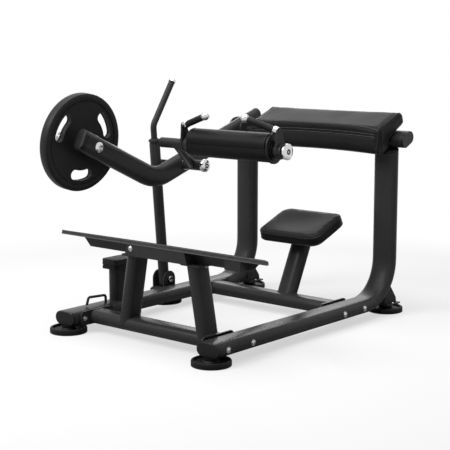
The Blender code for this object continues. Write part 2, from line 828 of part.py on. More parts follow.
def splayed(low, high, inset):
    """The front of the box, wider below like the posts, drawn in by the inset and open above it."""
    lean = (low - high) / 2 / box_rise
    return [
        (-low / 2 + inset, inset),
        (low / 2 - inset, inset),
        (high / 2 - inset - lean * 0.05, box_rise + 0.05),
        (-high / 2 + inset + lean * 0.05, box_rise + 0.05),
    ]


box = slab("bracket_box", splayed(BRACKET_BOX_LOW, BRACKET_BOX_TOP, 0), box_deep + sheet / 2, plane="XZ")
seat_at(box, USER_LINE + BRACKET_BOX_SHIFT, BRACKET_FRONT_Y + (box_deep + sheet / 2) / 2, BRACKET_LOW)
stiffener = block("bracket_stiffener", (STIFFENER_WIDE, box_deep + sheet / 2, 0.10))
seat_at(
    stiffener,
    USER_LINE + STIFFENER_X,
    BRACKET_FRONT_Y + (box_deep + sheet / 2) / 2,
    BRACKET_LOW + 0.008 + 0.05,
)
pocket = slab(
    "bracket_pocket",
    splayed(BRACKET_BOX_LOW, BRACKET_BOX_TOP, sheet),
    box_deep - sheet,
    plane="XZ",
    helper=True,
)
seat_at(pocket, USER_LINE + BRACKET_BOX_SHIFT, BRACKET_FRONT_Y + sheet + (box_deep - sheet) / 2, BRACKET_LOW)
stiffener_pocket = block(
    "stiffener_pocket",
    (STIFFENER_WIDE - 2 * sheet, box_deep - sheet, 0.10),
    helper=True,
)
seat_at(
    stiffener_pocket,
    USER_LINE + STIFFENER_X,
    BRACKET_FRONT_Y + sheet + (box_deep - sheet) / 2,
    BRACKET_LOW + 0.008 + sheet + 0.05,
)
over_bracket = block("over_bracket", (2, 1, 0.3), helper=True)
over_bracket.rotation_euler = (-PLATFORM_SLOPE, 0, 0)
turned_up = Vector((0, math.sin(PLATFORM_SLOPE), math.cos(PLATFORM_SLOPE))) * 0.15
seat_at(
    over_bracket,
    USER_LINE,
    BRACKET_WALL_Y + turned_up.y,
    tread_z(BRACKET_WALL_Y) - GAP / math.cos(PLATFORM_SLOPE) + turned_up.z,
)
joined(bracket, box, stiffener)
cut(bracket, pocket, stiffener_pocket, over_bracket)


def cushion(name, wide, deep, corner, rings, look=LEATHERETTE):
    """A soft slab of rounded rings, each drawn in by its own amount and at its own height."""
    mesh = bpy.data.meshes.new(name)
    work = bmesh.new()
    layers = []
    for drawn, height in rings:
        outline = rounded(corners(wide - 2 * drawn, deep - 2 * drawn), max(corner - drawn, 0.006), 6)
        layers.append([work.verts.new((x, y, height)) for x, y in outline])
    for low, high in zip(layers, layers[1:]):
        for i in range(len(low)):
            k = (i + 1) % len(low)
            work.faces.new((low[i], low[k], high[k], high[i]))
    work.faces.new(list(reversed(layers[0])))
    work.faces.new(layers[-1])
    bmesh.ops.recalc_face_normals(work, faces=work.faces)
    work.to_mesh(mesh)
    work.free()
    return smooth(own(bpy.data.objects.new(name, mesh), name, look), 50)


# Seat: post leaning back, board and crowned cushion on it
seat_out = Vector((0, -math.sin(SEAT_SLOPE), math.cos(SEAT_SLOPE)))


def seat_piece(obj, depth):
    """Sets a piece of the seat square to the seat's slope, at a depth below its top."""
    obj.rotation_euler = (SEAT_SLOPE, 0, 0)
    return seat_at(obj, USER_LINE, SEAT_Y - seat_out.y * depth, SEAT_TOP_Z - seat_out.z * depth)


SEAT_RINGS = [
    (0.010, 0.000),
    (0.002, 0.005),
    (0.000, 0.014),
    (0.000, 0.034),
    (0.002, 0.0365),
    (0.000, 0.039),
    (0.0015, 0.0455),
    (0.008, 0.0510),
    (0.024, 0.0540),
    (0.060, 0.0556),
    (0.100, 0.0560),
]
SEAT_HIGH = SEAT_RINGS[-1][1]
seat_piece(cushion("seat_cushion", SEAT_WIDE, SEAT_DEEP, SEAT_CORNER, SEAT_RINGS), SEAT_HIGH)
board_depth = SEAT_HIGH + GAP + SEAT_BOARD / 2
board = slab("seat_board", rounded(corners(SEAT_WIDE - 0.05, SEAT_DEEP - 0.05), 0.04), SEAT_BOARD)
seat_piece(board, board_depth)

mid_room = tube(
    "mid_cross_room",
    [(-0.4, MID_CROSS_Y, RAIL_Z), (0.4, MID_CROSS_Y, RAIL_Z)],
    LINK_WIDE + 2 * GAP,
    LINK_THICK + 2 * GAP,
    helper=True,
)
above_seat_post = block("above_seat_post", (0.6, 0.6, 0.3), helper=True)
seat_piece(above_seat_post, board_depth + SEAT_BOARD / 2 + GAP - 0.15)
post_low = (SEAT_POST_Y, RAIL_Z + 0.006)
post_reach = 0.36
seat_post = tube(
    "seat_post",
    [
        (USER_LINE, post_low[0], post_low[1]),
        (
            USER_LINE,
            post_low[0] + post_reach * math.sin(SEAT_POST_LEAN),
            post_low[1] + post_reach * math.cos(SEAT_POST_LEAN),
        ),
    ],
    LINK_WIDE,
    LINK_THICK,
)
cut(seat_post, mid_room, above_seat_post)

# Pad tube, turned to the pad's slope, on the near upright and beside the fork of the far one
PAD_TUBE_FAR = RISER_X
tube_outline = oval_outline(LINK_WIDE, LINK_THICK)
pad_tube = slab("pad_tube", tube_outline, PAD_TUBE_NEAR - PAD_TUBE_FAR, plane="YZ")
pad_tube.rotation_euler = (PAD_SLOPE, 0, 0)
seat_at(pad_tube, (PAD_TUBE_NEAR + PAD_TUBE_FAR) / 2, PAD_TUBE_Y, PAD_TUBE_Z)
tube_end = slab(
    "pad_tube_cap",
    oval_outline(LINK_WIDE - 0.001, LINK_THICK - 0.001),
    CAP_THICK,
    DARK_PLASTIC,
    "YZ",
    0.003,
)
tube_end.rotation_euler = (PAD_SLOPE, 0, 0)
seat_at(tube_end, PAD_TUBE_NEAR + GAP + CAP_THICK / 2, PAD_TUBE_Y, PAD_TUBE_Z)

# Back pad: board on the tube, and a padded slab with a lip that drops in front of the tube
BOARD_OUT = LINK_THICK / 2 + GAP
PAD_OUT = BOARD_OUT + PAD_BOARD + GAP
pad_board = block("back_pad_board", (PAD_WIDE - 2 * BOARD_INSET, BOARD_DEEP, PAD_BOARD), bevel=0.001)
pad_board.rotation_euler = (PAD_SLOPE, 0, 0)
seat_at(pad_board, USER_LINE, *on_slope(BOARD_SHIFT, BOARD_OUT + PAD_BOARD / 2))

PAD_TOP = PAD_OUT + PAD_THICK
PAD_LIP_OUT = PAD_TOP + 0.016 - PAD_LIP
pad_outline = rounded(
    [
        (PAD_BACK, PAD_OUT, 0.014),
        (PAD_BACK + 0.006, PAD_TOP - 0.016, 0.010),
        (PAD_BACK - 0.013, PAD_TOP, 0.012),
        (-PAD_FRONT + 0.010, PAD_TOP + 0.016, 0.026),
        (-PAD_FRONT - 0.008, PAD_TOP - 0.016, 0.020),
        (-PAD_FRONT - 0.058, PAD_LIP_OUT, 0.016),
        (-PAD_FRONT - 0.012, PAD_LIP_OUT - 0.018, 0.014),
        (-PAD_FRONT + 0.052, PAD_LIP_OUT - 0.018, 0.014),
        (-PAD_FRONT + 0.073, PAD_OUT, 0.008),
    ],
    PAD_CORNER,
    4,
)


def drawn_in(outline, amount):
    """The outline moved inwards, each point along the mean of its two edges' inner normals."""
    result = []
    count = len(outline)
    for i in range(count):
        before = Vector(outline[i]) - Vector(outline[i - 1])
        after = Vector(outline[(i + 1) % count]) - Vector(outline[i])
        normal = Vector((-before.y, before.x)).normalized() + Vector((-after.y, after.x)).normalized()
        result.append(tuple(Vector(outline[i]) + normal.normalized() * amount))
    return result


def lofted(name, outline, half_long, ends, look=LEATHERETTE):
    """A padded bar along X: its section is drawn in towards both ends by (distance, amount) steps."""
    mesh = bpy.data.meshes.new(name)
    work = bmesh.new()
    stations = [(-half_long + away, amount) for away, amount in ends]
    stations += [(half_long - away, amount) for away, amount in reversed(ends)]
    layers = []
    for x, amount in stations:
        layers.append([work.verts.new((x, y, z)) for y, z in drawn_in(outline, amount)])
    for low, high in zip(layers, layers[1:]):
        for i in range(len(low)):
            k = (i + 1) % len(low)
            work.faces.new((low[i], low[k], high[k], high[i]))
    work.faces.new(list(reversed(layers[0])))
    work.faces.new(layers[-1])
    bmesh.ops.recalc_face_normals(work, faces=work.faces)
    work.to_mesh(mesh)
    work.free()
    return smooth(own(bpy.data.objects.new(name, mesh), name, look), 50)


PAD_ENDS = [(0.0, 0.012), (0.004, 0.0045), (0.012, 0.001), (0.020, 0.0), (0.026, 0.0018), (0.032, 0.0)]
pad = lofted("back_pad_cushion", pad_outline, PAD_WIDE / 2, PAD_ENDS)
pad.rotation_euler = (PAD_SLOPE, 0, 0)
seat_at(pad, USER_LINE, PAD_TUBE_Y, PAD_TUBE_Z)

# Fork on the far upright: a seat plate and two cheeks round the arm's pivot
fork_floor_wide = RISER_X - GAP - FORK_OUT_X
fork = block("pivot_fork", (fork_floor_wide, 0.100, FORK_PLATE), bevel=0.0015)
seat_at(fork, RISER_X - GAP - fork_floor_wide / 2, PIVOT_Y, FORK_FLOOR + GAP + FORK_PLATE / 2)
cheek_low = FORK_FLOOR + GAP + 0.001 - PIVOT_Z
cheek_outline = [(-0.046, cheek_low), (0.046, cheek_low)]
cheek_outline += arc((0, 0), CHEEK_RADIUS, math.radians(-20), math.radians(200), 22)
for side, sign in (("far", -1), ("near", 1)):
    cheek = slab("fork_cheek_" + side, cheek_outline, CHEEK_THICK, plane="YZ")
    seat_at(cheek, ARM_X + sign * (CHEEK_IN + CHEEK_THICK / 2), PIVOT_Y, PIVOT_Z)
    joined(fork, cheek)
shaft_room = disc("shaft_room", SHAFT_RADIUS + FIT, 0.4, helper=True, sides=28)
seat_at(shaft_room, ARM_X, PIVOT_Y, PIVOT_Z)
shaft_fork_long = 2 * (CHEEK_IN + CHEEK_THICK) + 0.02
shaft_fork_room = disc("shaft_fork_room", SHAFT_RADIUS + FIT, shaft_fork_long, helper=True)
seat_at(shaft_fork_room, ARM_X, PIVOT_Y, PIVOT_Z)
cut(fork, shaft_fork_room)

SHAFT_NEAR = ARM_X + CHEEK_IN + CHEEK_THICK
SHAFT_FAR = ARM_X - CHEEK_IN - CHEEK_THICK
shaft = disc("pivot_shaft", SHAFT_RADIUS, SHAFT_NEAR - SHAFT_FAR + 0.003, GREY_STEEL, sides=28)
seat_at(shaft, (SHAFT_NEAR + SHAFT_FAR - 0.003) / 2, PIVOT_Y, PIVOT_Z)
shaft_head = disc("pivot_shaft_head", 0.028, 0.007, GREY_STEEL, bevel=0.002)
seat_at(shaft_head, SHAFT_FAR - GAP - 0.0035, PIVOT_Y, PIVOT_Z)
joined(shaft, shaft_head)

# Lever arm: one tall oval tube with its elbow between the plate horn and the pivot
front_rise = math.tan(ARM_FRONT_SLOPE)
rear_rise = math.tan(ARM_REAR_SLOPE)


def arm_z(y):
    """Height of the arm's middle line."""
    away = y - ARM_ELBOW_Y
    return ARM_ELBOW_Z + (away * rear_rise if away > 0 else -away * front_rise)


arm = tube(
    "lever_arm",
    bent(
        [
            (ARM_X, ARM_FRONT_Y, arm_z(ARM_FRONT_Y)),
            (ARM_X, ARM_ELBOW_Y, ARM_ELBOW_Z),
            (ARM_X, ARM_REAR_Y, arm_z(ARM_REAR_Y)),
        ],
        ARM_BEND,
        8,
    ),
    ARM_TALL,
    ARM_THICK,
    tall=True,
)
tall_outline = [(-y, x) for x, y in oval_outline(ARM_TALL - 0.001, ARM_THICK - 0.001)]
for name, y, slope, sign in (
    ("arm_cap_front", ARM_FRONT_Y, -ARM_FRONT_SLOPE, -1),
    ("arm_cap_rear", ARM_REAR_Y, ARM_REAR_SLOPE, 1),
):
    cap = slab(name, tall_outline, ARM_CAP, DARK_PLASTIC, "XZ", 0.008, segments=3)
    cap.rotation_euler = (slope, 0, 0)
    away = sign * (GAP + ARM_CAP / 2)
    seat_at(cap, ARM_X, y + away * math.cos(slope), arm_z(y) + away * math.sin(slope))

HORN_Z = arm_z(HORN_Y) + HORN_RISE
BOLT_Z = arm_z(HORN_Y)
HORN_BOLT_SHANK = 0.010
horn_room = disc("horn_bolt_room", HORN_BOLT_SHANK + FIT, 0.2, helper=True, sides=20)
seat_at(horn_room, ARM_X, HORN_Y, BOLT_Z)
yoke_room = disc("yoke_pin_room", YOKE_PIN_RADIUS + FIT, 0.4, helper=True, sides=20)
seat_at(yoke_room, ARM_X, YOKE_Y, YOKE_Z)
catch_pin = disc("catch_pin", CATCH_PIN_RADIUS, CATCH_PIN_REACH + 0.01, sides=20)
seat_at(catch_pin, ARM_FACE - CATCH_PIN_REACH / 2 + 0.005, CATCH_Y, CATCH_Z)
joined(arm, catch_pin)
cut(arm, shaft_room, horn_room, yoke_room)

# Weight horn, raised at its free end so that the plate stays on; its bolt; and the plate
HORN_AXIS = Vector((-math.cos(HORN_TILT), 0, math.sin(HORN_TILT)))
HORN_ROOT = 0.010     # cut back to the arm's face
HORN_FOOT = Vector((ARM_FACE - GAP, HORN_Y, HORN_Z))


def on_horn(obj, along):
    """Sets a piece that is turned about -X onto the horn's raised axis, at a distance from the arm's face."""
    obj.rotation_euler = (0, HORN_TILT, 0)
    return seat_at(obj, *(HORN_FOOT + HORN_AXIS * along))


horn = turned(
    "weight_horn",
    [
        (0.0, HORN_REACH),
        (HORN_RADIUS - 0.003, HORN_REACH),
        (HORN_RADIUS, HORN_REACH - 0.003),
        (HORN_RADIUS, COLLAR_THICK),
        (COLLAR_RADIUS - 0.003, COLLAR_THICK),
        (COLLAR_RADIUS, COLLAR_THICK - 0.003),
        (COLLAR_RADIUS, COLLAR_THICK - 0.012),
        (COLLAR_RADIUS - 0.012, COLLAR_THICK - 0.012),
        (COLLAR_RADIUS - 0.012, -HORN_ROOT),
        (0.0, -HORN_ROOT),
    ],
    GREY_STEEL,
    "-X",
)
on_horn(horn, 0)
arm_face_room = block("arm_face_room", (0.2, 0.3, 0.3), helper=True)
seat_at(arm_face_room, ARM_FACE - GAP + 0.1, HORN_Y, HORN_Z)
SHANK_IN = 0.024      # thread of the bolt inside the horn
horn_blind = disc("horn_blind_bore", HORN_BOLT_SHANK + FIT, 2 * (SHANK_IN + GAP), helper=True, sides=20)
seat_at(horn_blind, ARM_FACE, HORN_Y, BOLT_Z)
cut(horn, arm_face_room, horn_blind)

shank_end = ARM_FACE - SHANK_IN
shank_long = NEAR_FACE + 0.004 - shank_end
horn_bolt = disc("horn_bolt", HORN_BOLT_SHANK, shank_long, CHROME, sides=20)
seat_at(horn_bolt, shank_end + shank_long / 2, HORN_Y, BOLT_Z)
bolt_head = turned(
    "horn_bolt_head",
    [
        (0.0, 0.0095),
        (0.012, 0.0085),
        (0.019, 0.0060),
        (HORN_BOLT_RADIUS, 0.0030),
        (HORN_BOLT_RADIUS, 0.0),
        (0.0, 0.0),
    ],
    CHROME,
    "X",
)
seat_at(bolt_head, NEAR_FACE + GAP, HORN_Y, BOLT_Z)
joined(horn_bolt, bolt_head)

half_plate = PLATE_THICK / 2
web = half_plate - PLATE_RECESS
face_profile = [
    (PLATE_RADIUS - PLATE_RIM - 0.003, web),
    (PLATE_RADIUS - PLATE_RIM, half_plate),
    (PLATE_RADIUS - 0.005, half_plate),
    (PLATE_RADIUS, half_plate - 0.006),
]
profile = [(0.0, web)] + face_profile
profile += [(radius, -height) for radius, height in reversed(face_profile)] + [(0.0, -web)]
plate = turned("weight_plate", profile, RUBBER, "-X", steps=48)
PLATE_ALONG = COLLAR_THICK + GAP + half_plate
on_horn(plate, PLATE_ALONG)
plate_bore = disc("plate_bore", HORN_RADIUS + PLATE_PLAY, 4 * PLATE_THICK, helper=True, sides=28)
on_horn(plate_bore, PLATE_ALONG)
cut(plate, plate_bore)
for i, middle in enumerate((30, 150, 270)):
    centre = math.radians(middle)
    ends = SLOT_WIDE / 2
    outline = arc((0, 0), SLOT_RADIUS + ends, centre - SLOT_HALF_ANGLE, centre + SLOT_HALF_ANGLE, 8)
    far_end = (
        SLOT_RADIUS * math.cos(centre + SLOT_HALF_ANGLE),
        SLOT_RADIUS * math.sin(centre + SLOT_HALF_ANGLE),
    )
    near_end = (
        SLOT_RADIUS * math.cos(centre - SLOT_HALF_ANGLE),
        SLOT_RADIUS * math.sin(centre - SLOT_HALF_ANGLE),
    )
    turn = centre + SLOT_HALF_ANGLE
    outline += arc(far_end, ends, turn + 0.4, turn + math.pi - 0.4, 5)
    outline += arc((0, 0), SLOT_RADIUS - ends, centre + SLOT_HALF_ANGLE, centre - SLOT_HALF_ANGLE, 8)
    turn = centre - SLOT_HALF_ANGLE
    outline += arc(near_end, ends, turn + math.pi + 0.4, turn + 2 * math.pi - 0.4, 5)
    slot = slab("plate_slot_%d" % (i + 1), outline, 4 * PLATE_THICK, plane="YZ", helper=True)
    on_horn(slot, PLATE_ALONG)
    cut(plate, slot)

# Yoke of the hip pad: pin and cap on the arm; sleeve, brace and bar turn on them
PIN_NEAR = NEAR_FACE + GAP + YOKE_RING + GAP + SLEEVE_LONG + GAP
pin_far = ARM_FACE - 0.002
pin = disc("yoke_pin", YOKE_PIN_RADIUS, PIN_NEAR + 0.012 - pin_far, GREY_STEEL, sides=20)
seat_at(pin, (PIN_NEAR + 0.012 + pin_far) / 2, YOKE_Y, YOKE_Z)
ring = disc("yoke_ring", SLEEVE_RADIUS + 0.003, YOKE_RING, GREY_STEEL)
seat_at(ring, NEAR_FACE + GAP + YOKE_RING / 2, YOKE_Y, YOKE_Z)
joined(pin, ring)
pin_cap = turned(
    "yoke_pin_cap",
    [
        (0.0, 0.020),
        (0.014, 0.0195),
        (0.024, 0.0165),
        (YOKE_CAP_RADIUS - 0.001, 0.011),
        (YOKE_CAP_RADIUS, 0.006),
        (YOKE_CAP_RADIUS, 0.0),
        (0.0, 0.0),
    ],
    CHROME,
    "X",
)
seat_at(pin_cap, PIN_NEAR, YOKE_Y, YOKE_Z)
cap_bore = disc("pin_cap_bore", YOKE_PIN_RADIUS + FIT, 0.026, helper=True, sides=20)
seat_at(cap_bore, PIN_NEAR, YOKE_Y, YOKE_Z)
cut(pin_cap, cap_bore)

SLEEVE_X = NEAR_FACE + GAP + YOKE_RING + GAP + SLEEVE_LONG / 2
sleeve = disc("yoke_sleeve", SLEEVE_RADIUS, SLEEVE_LONG, bevel=0.001)
seat_at(sleeve, SLEEVE_X, YOKE_Y, YOKE_Z)
cut(sleeve, yoke_room)
sleeve_space = disc("sleeve_room", SLEEVE_RADIUS + GAP, SLEEVE_LONG + 0.1, helper=True)
seat_at(sleeve_space, SLEEVE_X, YOKE_Y, YOKE_Z)

SHELL_X = HIP_PAD_HALF + GAP
HUB_FAR = SHELL_X + SHELL_THICK + SHELL_STEP + GAP
HUB_NEAR = HUB_FAR + HUB_LONG
bar_near = USER_LINE + HUB_NEAR + 0.012
bar = disc("yoke_bar", BAR_RADIUS, bar_near - BAR_FAR_X, bevel=0.002)
seat_at(bar, (bar_near + BAR_FAR_X) / 2, HIP_Y, HIP_Z)
bar_space = disc("bar_room", BAR_RADIUS + GAP, 1.0, helper=True)
seat_at(bar_space, 0, HIP_Y, HIP_Z)

brace = rod(
    "yoke_brace",
    [(BRACE_BAR_X, HIP_Y, HIP_Z), (BRACE_SLEEVE_X, YOKE_Y, YOKE_Z)],
    BAR_RADIUS - 0.001,
    sides=6,
)
cut(brace, bar_space, sleeve_space)

# Hip pad: a roller, a raised saddle over it, and a stepped shell at each end
ROLLER_EDGE = 0.008
roller_half = HIP_PAD_HALF
roller_end = [
    (HIP_PAD_RADIUS - ROLLER_EDGE, roller_half),
    (HIP_PAD_RADIUS - 0.003, roller_half - 0.003),
    (HIP_PAD_RADIUS - 0.0005, roller_half - 0.009),
    (HIP_PAD_RADIUS, roller_half - 0.020),
]
profile = [(0.0, roller_half)] + roller_end
profile += [(radius, -height) for radius, height in reversed(roller_end)] + [(0.0, -roller_half)]
roller = turned("hip_pad", profile, LEATHERETTE, "X", steps=32)
seat_at(roller, USER_LINE, HIP_Y, HIP_Z)
cut(roller, bar_space)

inner_circle = HIP_PAD_RADIUS + GAP
low_inner = math.asin(SADDLE_LOW / inner_circle)
low_outer = math.asin((SADDLE_LOW - SADDLE_RISE) / SADDLE_RADIUS)
saddle_outline = arc((0, SADDLE_RISE), SADDLE_RADIUS, low_outer, math.pi - low_outer, 24)
saddle_outline += arc((0, 0), inner_circle, math.pi - low_inner, low_inner, 24)
saddle = slab("hip_saddle", saddle_outline, 2 * HIP_PAD_HALF - 0.004, LEATHERETTE, "YZ", bevel=0.0015)
seat_at(saddle, USER_LINE, HIP_Y, HIP_Z)


def two_circles(low, low_radius, high, high_radius, steps=12):
    """The outline of a belt round two circles, one above the other."""
    low, high = Vector(low), Vector(high)
    line = high - low
    lean = math.atan2(line.y, line.x)
    open_angle = math.acos((low_radius - high_radius) / line.length)
    outline = arc(high, high_radius, lean - open_angle, lean + open_angle, steps)
    outline += arc(low, low_radius, lean + open_angle, lean + 2 * math.pi - open_angle, steps)
    return outline


for side, sign in (("far", -1), ("near", 1)):
    shell = slab(
        "hip_shell_" + side,
        two_circles((0, 0), SHELL_RADIUS, (0, SADDLE_RISE), SHELL_RADIUS, 12),
        SHELL_THICK,
        DARK_PLASTIC,
        "YZ",
        bevel=0.0025,
    )
    seat_at(shell, USER_LINE + sign * (SHELL_X + SHELL_THICK / 2), HIP_Y, HIP_Z)
    step = disc("shell_step_" + side, SHELL_RADIUS - 0.014, SHELL_STEP + 0.004, DARK_PLASTIC)
    seat_at(step, USER_LINE + sign * (SHELL_X + SHELL_THICK + SHELL_STEP / 2 - 0.002), HIP_Y, HIP_Z)
    joined(shell, step)
    cut(shell, bar_space)

    foot = Vector((USER_LINE + sign * GRIP_FOOT[0], GRIP_FOOT[1], GRIP_FOOT[2]))
    tip = Vector((USER_LINE + sign * GRIP_TIP[0], GRIP_TIP[1], GRIP_TIP[2]))
    aim = (tip - foot).normalized()
    turn = aim.to_track_quat("Z", "Y").to_euler()
    long = (tip - foot).length

    plate_x = USER_LINE + sign * (HUB_FAR + HUB_LONG * 0.55)
    lug_rise = foot.z - HIP_Z - 0.004
    arm_plate = slab(
        "grip_bracket_" + side,
        two_circles((0, 0), 0.035, (foot.y - HIP_Y, lug_rise), 0.0155, 9),
        GRIP_PLATE,
        plane="YZ",
        bevel=0.0015,
    )
    seat_at(arm_plate, plate_x, HIP_Y, HIP_Z)
    hub = disc("grip_hub_" + side, 0.032, HUB_LONG)
    seat_at(hub, USER_LINE + sign * (HUB_FAR + HUB_LONG / 2), HIP_Y, HIP_Z)
    lug_start = Vector((plate_x, foot.y, HIP_Z + lug_rise))
    lug_end = foot - aim * (RING_LONG / 2 - 0.002)
    lug = rod("grip_lug_" + side, [tuple(lug_start), tuple(lug_end)], 0.009, sides=4)
    joined(arm_plate, hub, lug)
    ring_room = RING_LONG + 2 * GAP
    ring_space = disc("ring_room_" + side, RING_RADIUS + 0.01, ring_room, axis="Z", helper=True, sides=20)
    ring_space.rotation_euler = turn
    seat_at(ring_space, *foot)
    cut(arm_plate, bar_space, ring_space)

    grip_ring = disc("grip_ring_" + side, RING_RADIUS, RING_LONG, CHROME, "Z", bevel=0.002, sides=20)
    grip_ring.rotation_euler = turn
    seat_at(grip_ring, *foot)

    grip_start = RING_LONG / 2 + GAP
    neck = 0.0125
    grip_long = long - grip_start - math.sqrt(BALL_RADIUS**2 - neck**2) - GAP
    grip = turned(
        "grip_" + side,
        [
            (0.0, grip_long),
            (GRIP_RADIUS - 0.002, grip_long),
            (GRIP_RADIUS, grip_long - 0.003),
            (GRIP_RADIUS - 0.0006, grip_long * 0.5),
            (GRIP_RADIUS, 0.003),
            (GRIP_RADIUS, 0.0),
            (0.0, 0.0),
        ],
        RUBBER,
        steps=20,
    )
    grip.rotation_euler = turn
    seat_at(grip, *(foot + aim * grip_start))

    low_angle = -math.acos(neck / BALL_RADIUS)
    ball_profile = [
        (
            BALL_RADIUS * math.cos(math.pi / 2 + (low_angle - math.pi / 2) * i / 8),
            BALL_RADIUS * math.sin(math.pi / 2 + (low_angle - math.pi / 2) * i / 8),
        )
        for i in range(9)
    ]
    ball_profile[0] = (0.0, BALL_RADIUS)
    ball = turned("grip_ball_" + side, ball_profile + [(0.0, ball_profile[-1][1])], CHROME, steps=20)
    ball.rotation_euler = turn
    seat_at(ball, *tip)

end_cap = turned(
    "hip_end_cap",
    [
        (0.0, END_CAP_THICK),
        (END_CAP_RADIUS - 0.006, END_CAP_THICK),
        (END_CAP_RADIUS, END_CAP_THICK - 0.004),
        (END_CAP_RADIUS, 0.002),
        (END_CAP_RADIUS - 0.003, 0.0),
        (0.0, 0.0),
    ],
    CHROME,
    "X",
)
seat_at(end_cap, bar_near + GAP, HIP_Y, HIP_Z)

# Support stick, on its own hinge: tube with a ledge for the arm's catch pin, bent rod and knob
stick_up = Vector((0, -math.sin(STICK_LEAN), math.cos(STICK_LEAN)))
stick_long = (STICK_TOP_Z - STICK_HINGE_Z) / stick_up.z
stick = turned(
    "stick_tube",
    [
        (0.0, stick_long),
        (ROD_RADIUS + 0.003, stick_long),
        (STICK_RADIUS, stick_long - 0.026),
        (STICK_RADIUS, -0.024),
        (STICK_RADIUS - 0.008, -0.033),
        (0.0, -0.033),
    ],
    steps=32,
)
stick.rotation_euler = (STICK_LEAN, 0, 0)
hinge = Vector((STICK_X, STICK_HINGE_Y, STICK_HINGE_Z))
seat_at(stick, *hinge)

ledge_top = CATCH_Z - CATCH_PIN_RADIUS - GAP
stick_back = STICK_HINGE_Y - (ledge_top - STICK_HINGE_Z) * math.tan(STICK_LEAN)
ledge = slab(
    "stick_ledge",
    rounded(
        [
            (stick_back, ledge_top - 0.052, 0.002),
            (CATCH_Y - 0.012, ledge_top - 0.030, 0.008),
            (CATCH_Y + 0.013, ledge_top - 0.012, 0.006),
            (CATCH_Y + 0.013, ledge_top, 0.002),
            (stick_back, ledge_top, 0.002),
        ],
        0.004,
        3,
    ),
    CATCH_THICK,
    plane="YZ",
)
seat_at(ledge, STICK_X, 0, 0)
joined(stick, ledge)

bend = hinge + stick_up * ((ROD_BEND_Z - STICK_HINGE_Z) / stick_up.z)
rod_low = hinge + stick_up * (stick_long - ROD_SOCKET)
rod_end = Vector((STICK_X, ROD_END_Y, ROD_END_Z))
rod("stick_rod", bent([tuple(rod_low), tuple(bend), tuple(rod_end)], 0.05, 6), ROD_RADIUS, sides=5)
socket = disc("rod_socket", ROD_RADIUS + FIT, ROD_SOCKET + 2 * FIT, axis="Z", helper=True, sides=28)
socket.rotation_euler = (STICK_LEAN, 0, 0)
seat_at(socket, *(hinge + stick_up * (stick_long - ROD_SOCKET / 2)))
cut(stick, bolt_room, socket)

rod_aim = (rod_end - bend).normalized()
knob = turned(
    "stick_knob",
    [
        (0.0, 0.022),
        (0.007, 0.0205),
        (0.013, 0.0165),
        (0.0170, 0.011),
        (KNOB_RADIUS, 0.006),
        (KNOB_RADIUS, 0.0),
        (0.0, 0.0),
    ],
    CHROME,
    steps=20,
)
knob.rotation_euler = rod_aim.to_track_quat("Z", "Y").to_euler()
seat_at(knob, *(rod_end + rod_aim * GAP))

# Every piece is settled into one plain mesh, with its edges sharper than 35 degrees kept crisp, and the
# origin goes to the floor below the middle of the whole machine
bpy.context.view_layer.update()
graph = bpy.context.evaluated_depsgraph_get()
settled = [(piece, bpy.data.meshes.new_from_object(piece.evaluated_get(graph))) for piece in machine.objects]
reach = []
for piece, mesh in settled:
    piece.modifiers.clear()
    piece.data = mesh
    mesh.name = piece.name
    smooth(piece, 50 if LEATHERETTE.name in mesh.materials else 35)
    reach += [piece.matrix_world @ vertex.co for vertex in mesh.vertices]
middle = Vector((
    (min(p.x for p in reach) + max(p.x for p in reach)) / 2,
    (min(p.y for p in reach) + max(p.y for p in reach)) / 2,
    0,
))
for piece in list(machine.objects) + list(helpers.objects):
    piece.location -= middle
print("middle of the layout: %.6f %.6f" % (middle.x, middle.y))
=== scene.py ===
# %% [markdown]
# A plate-loaded glute bridge machine: two bent side frames, a foot platform, a sloped seat and a back pad,
# and a lever arm that carries a weight plate at one end and a padded hip bar beside its elbow. The packed
# machine comes in first. Its solids never move here: this script gives them their finish and adds what a
# solid leaves out, such as upholstery, seams, bolts, welds and the ribs of the hand grips.

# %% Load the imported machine
import json
import math

import bmesh
import bpy
import numpy as np
from mathutils import Matrix, Vector
from mathutils.bvhtree import BVHTree
from mathutils.kdtree import KDTree


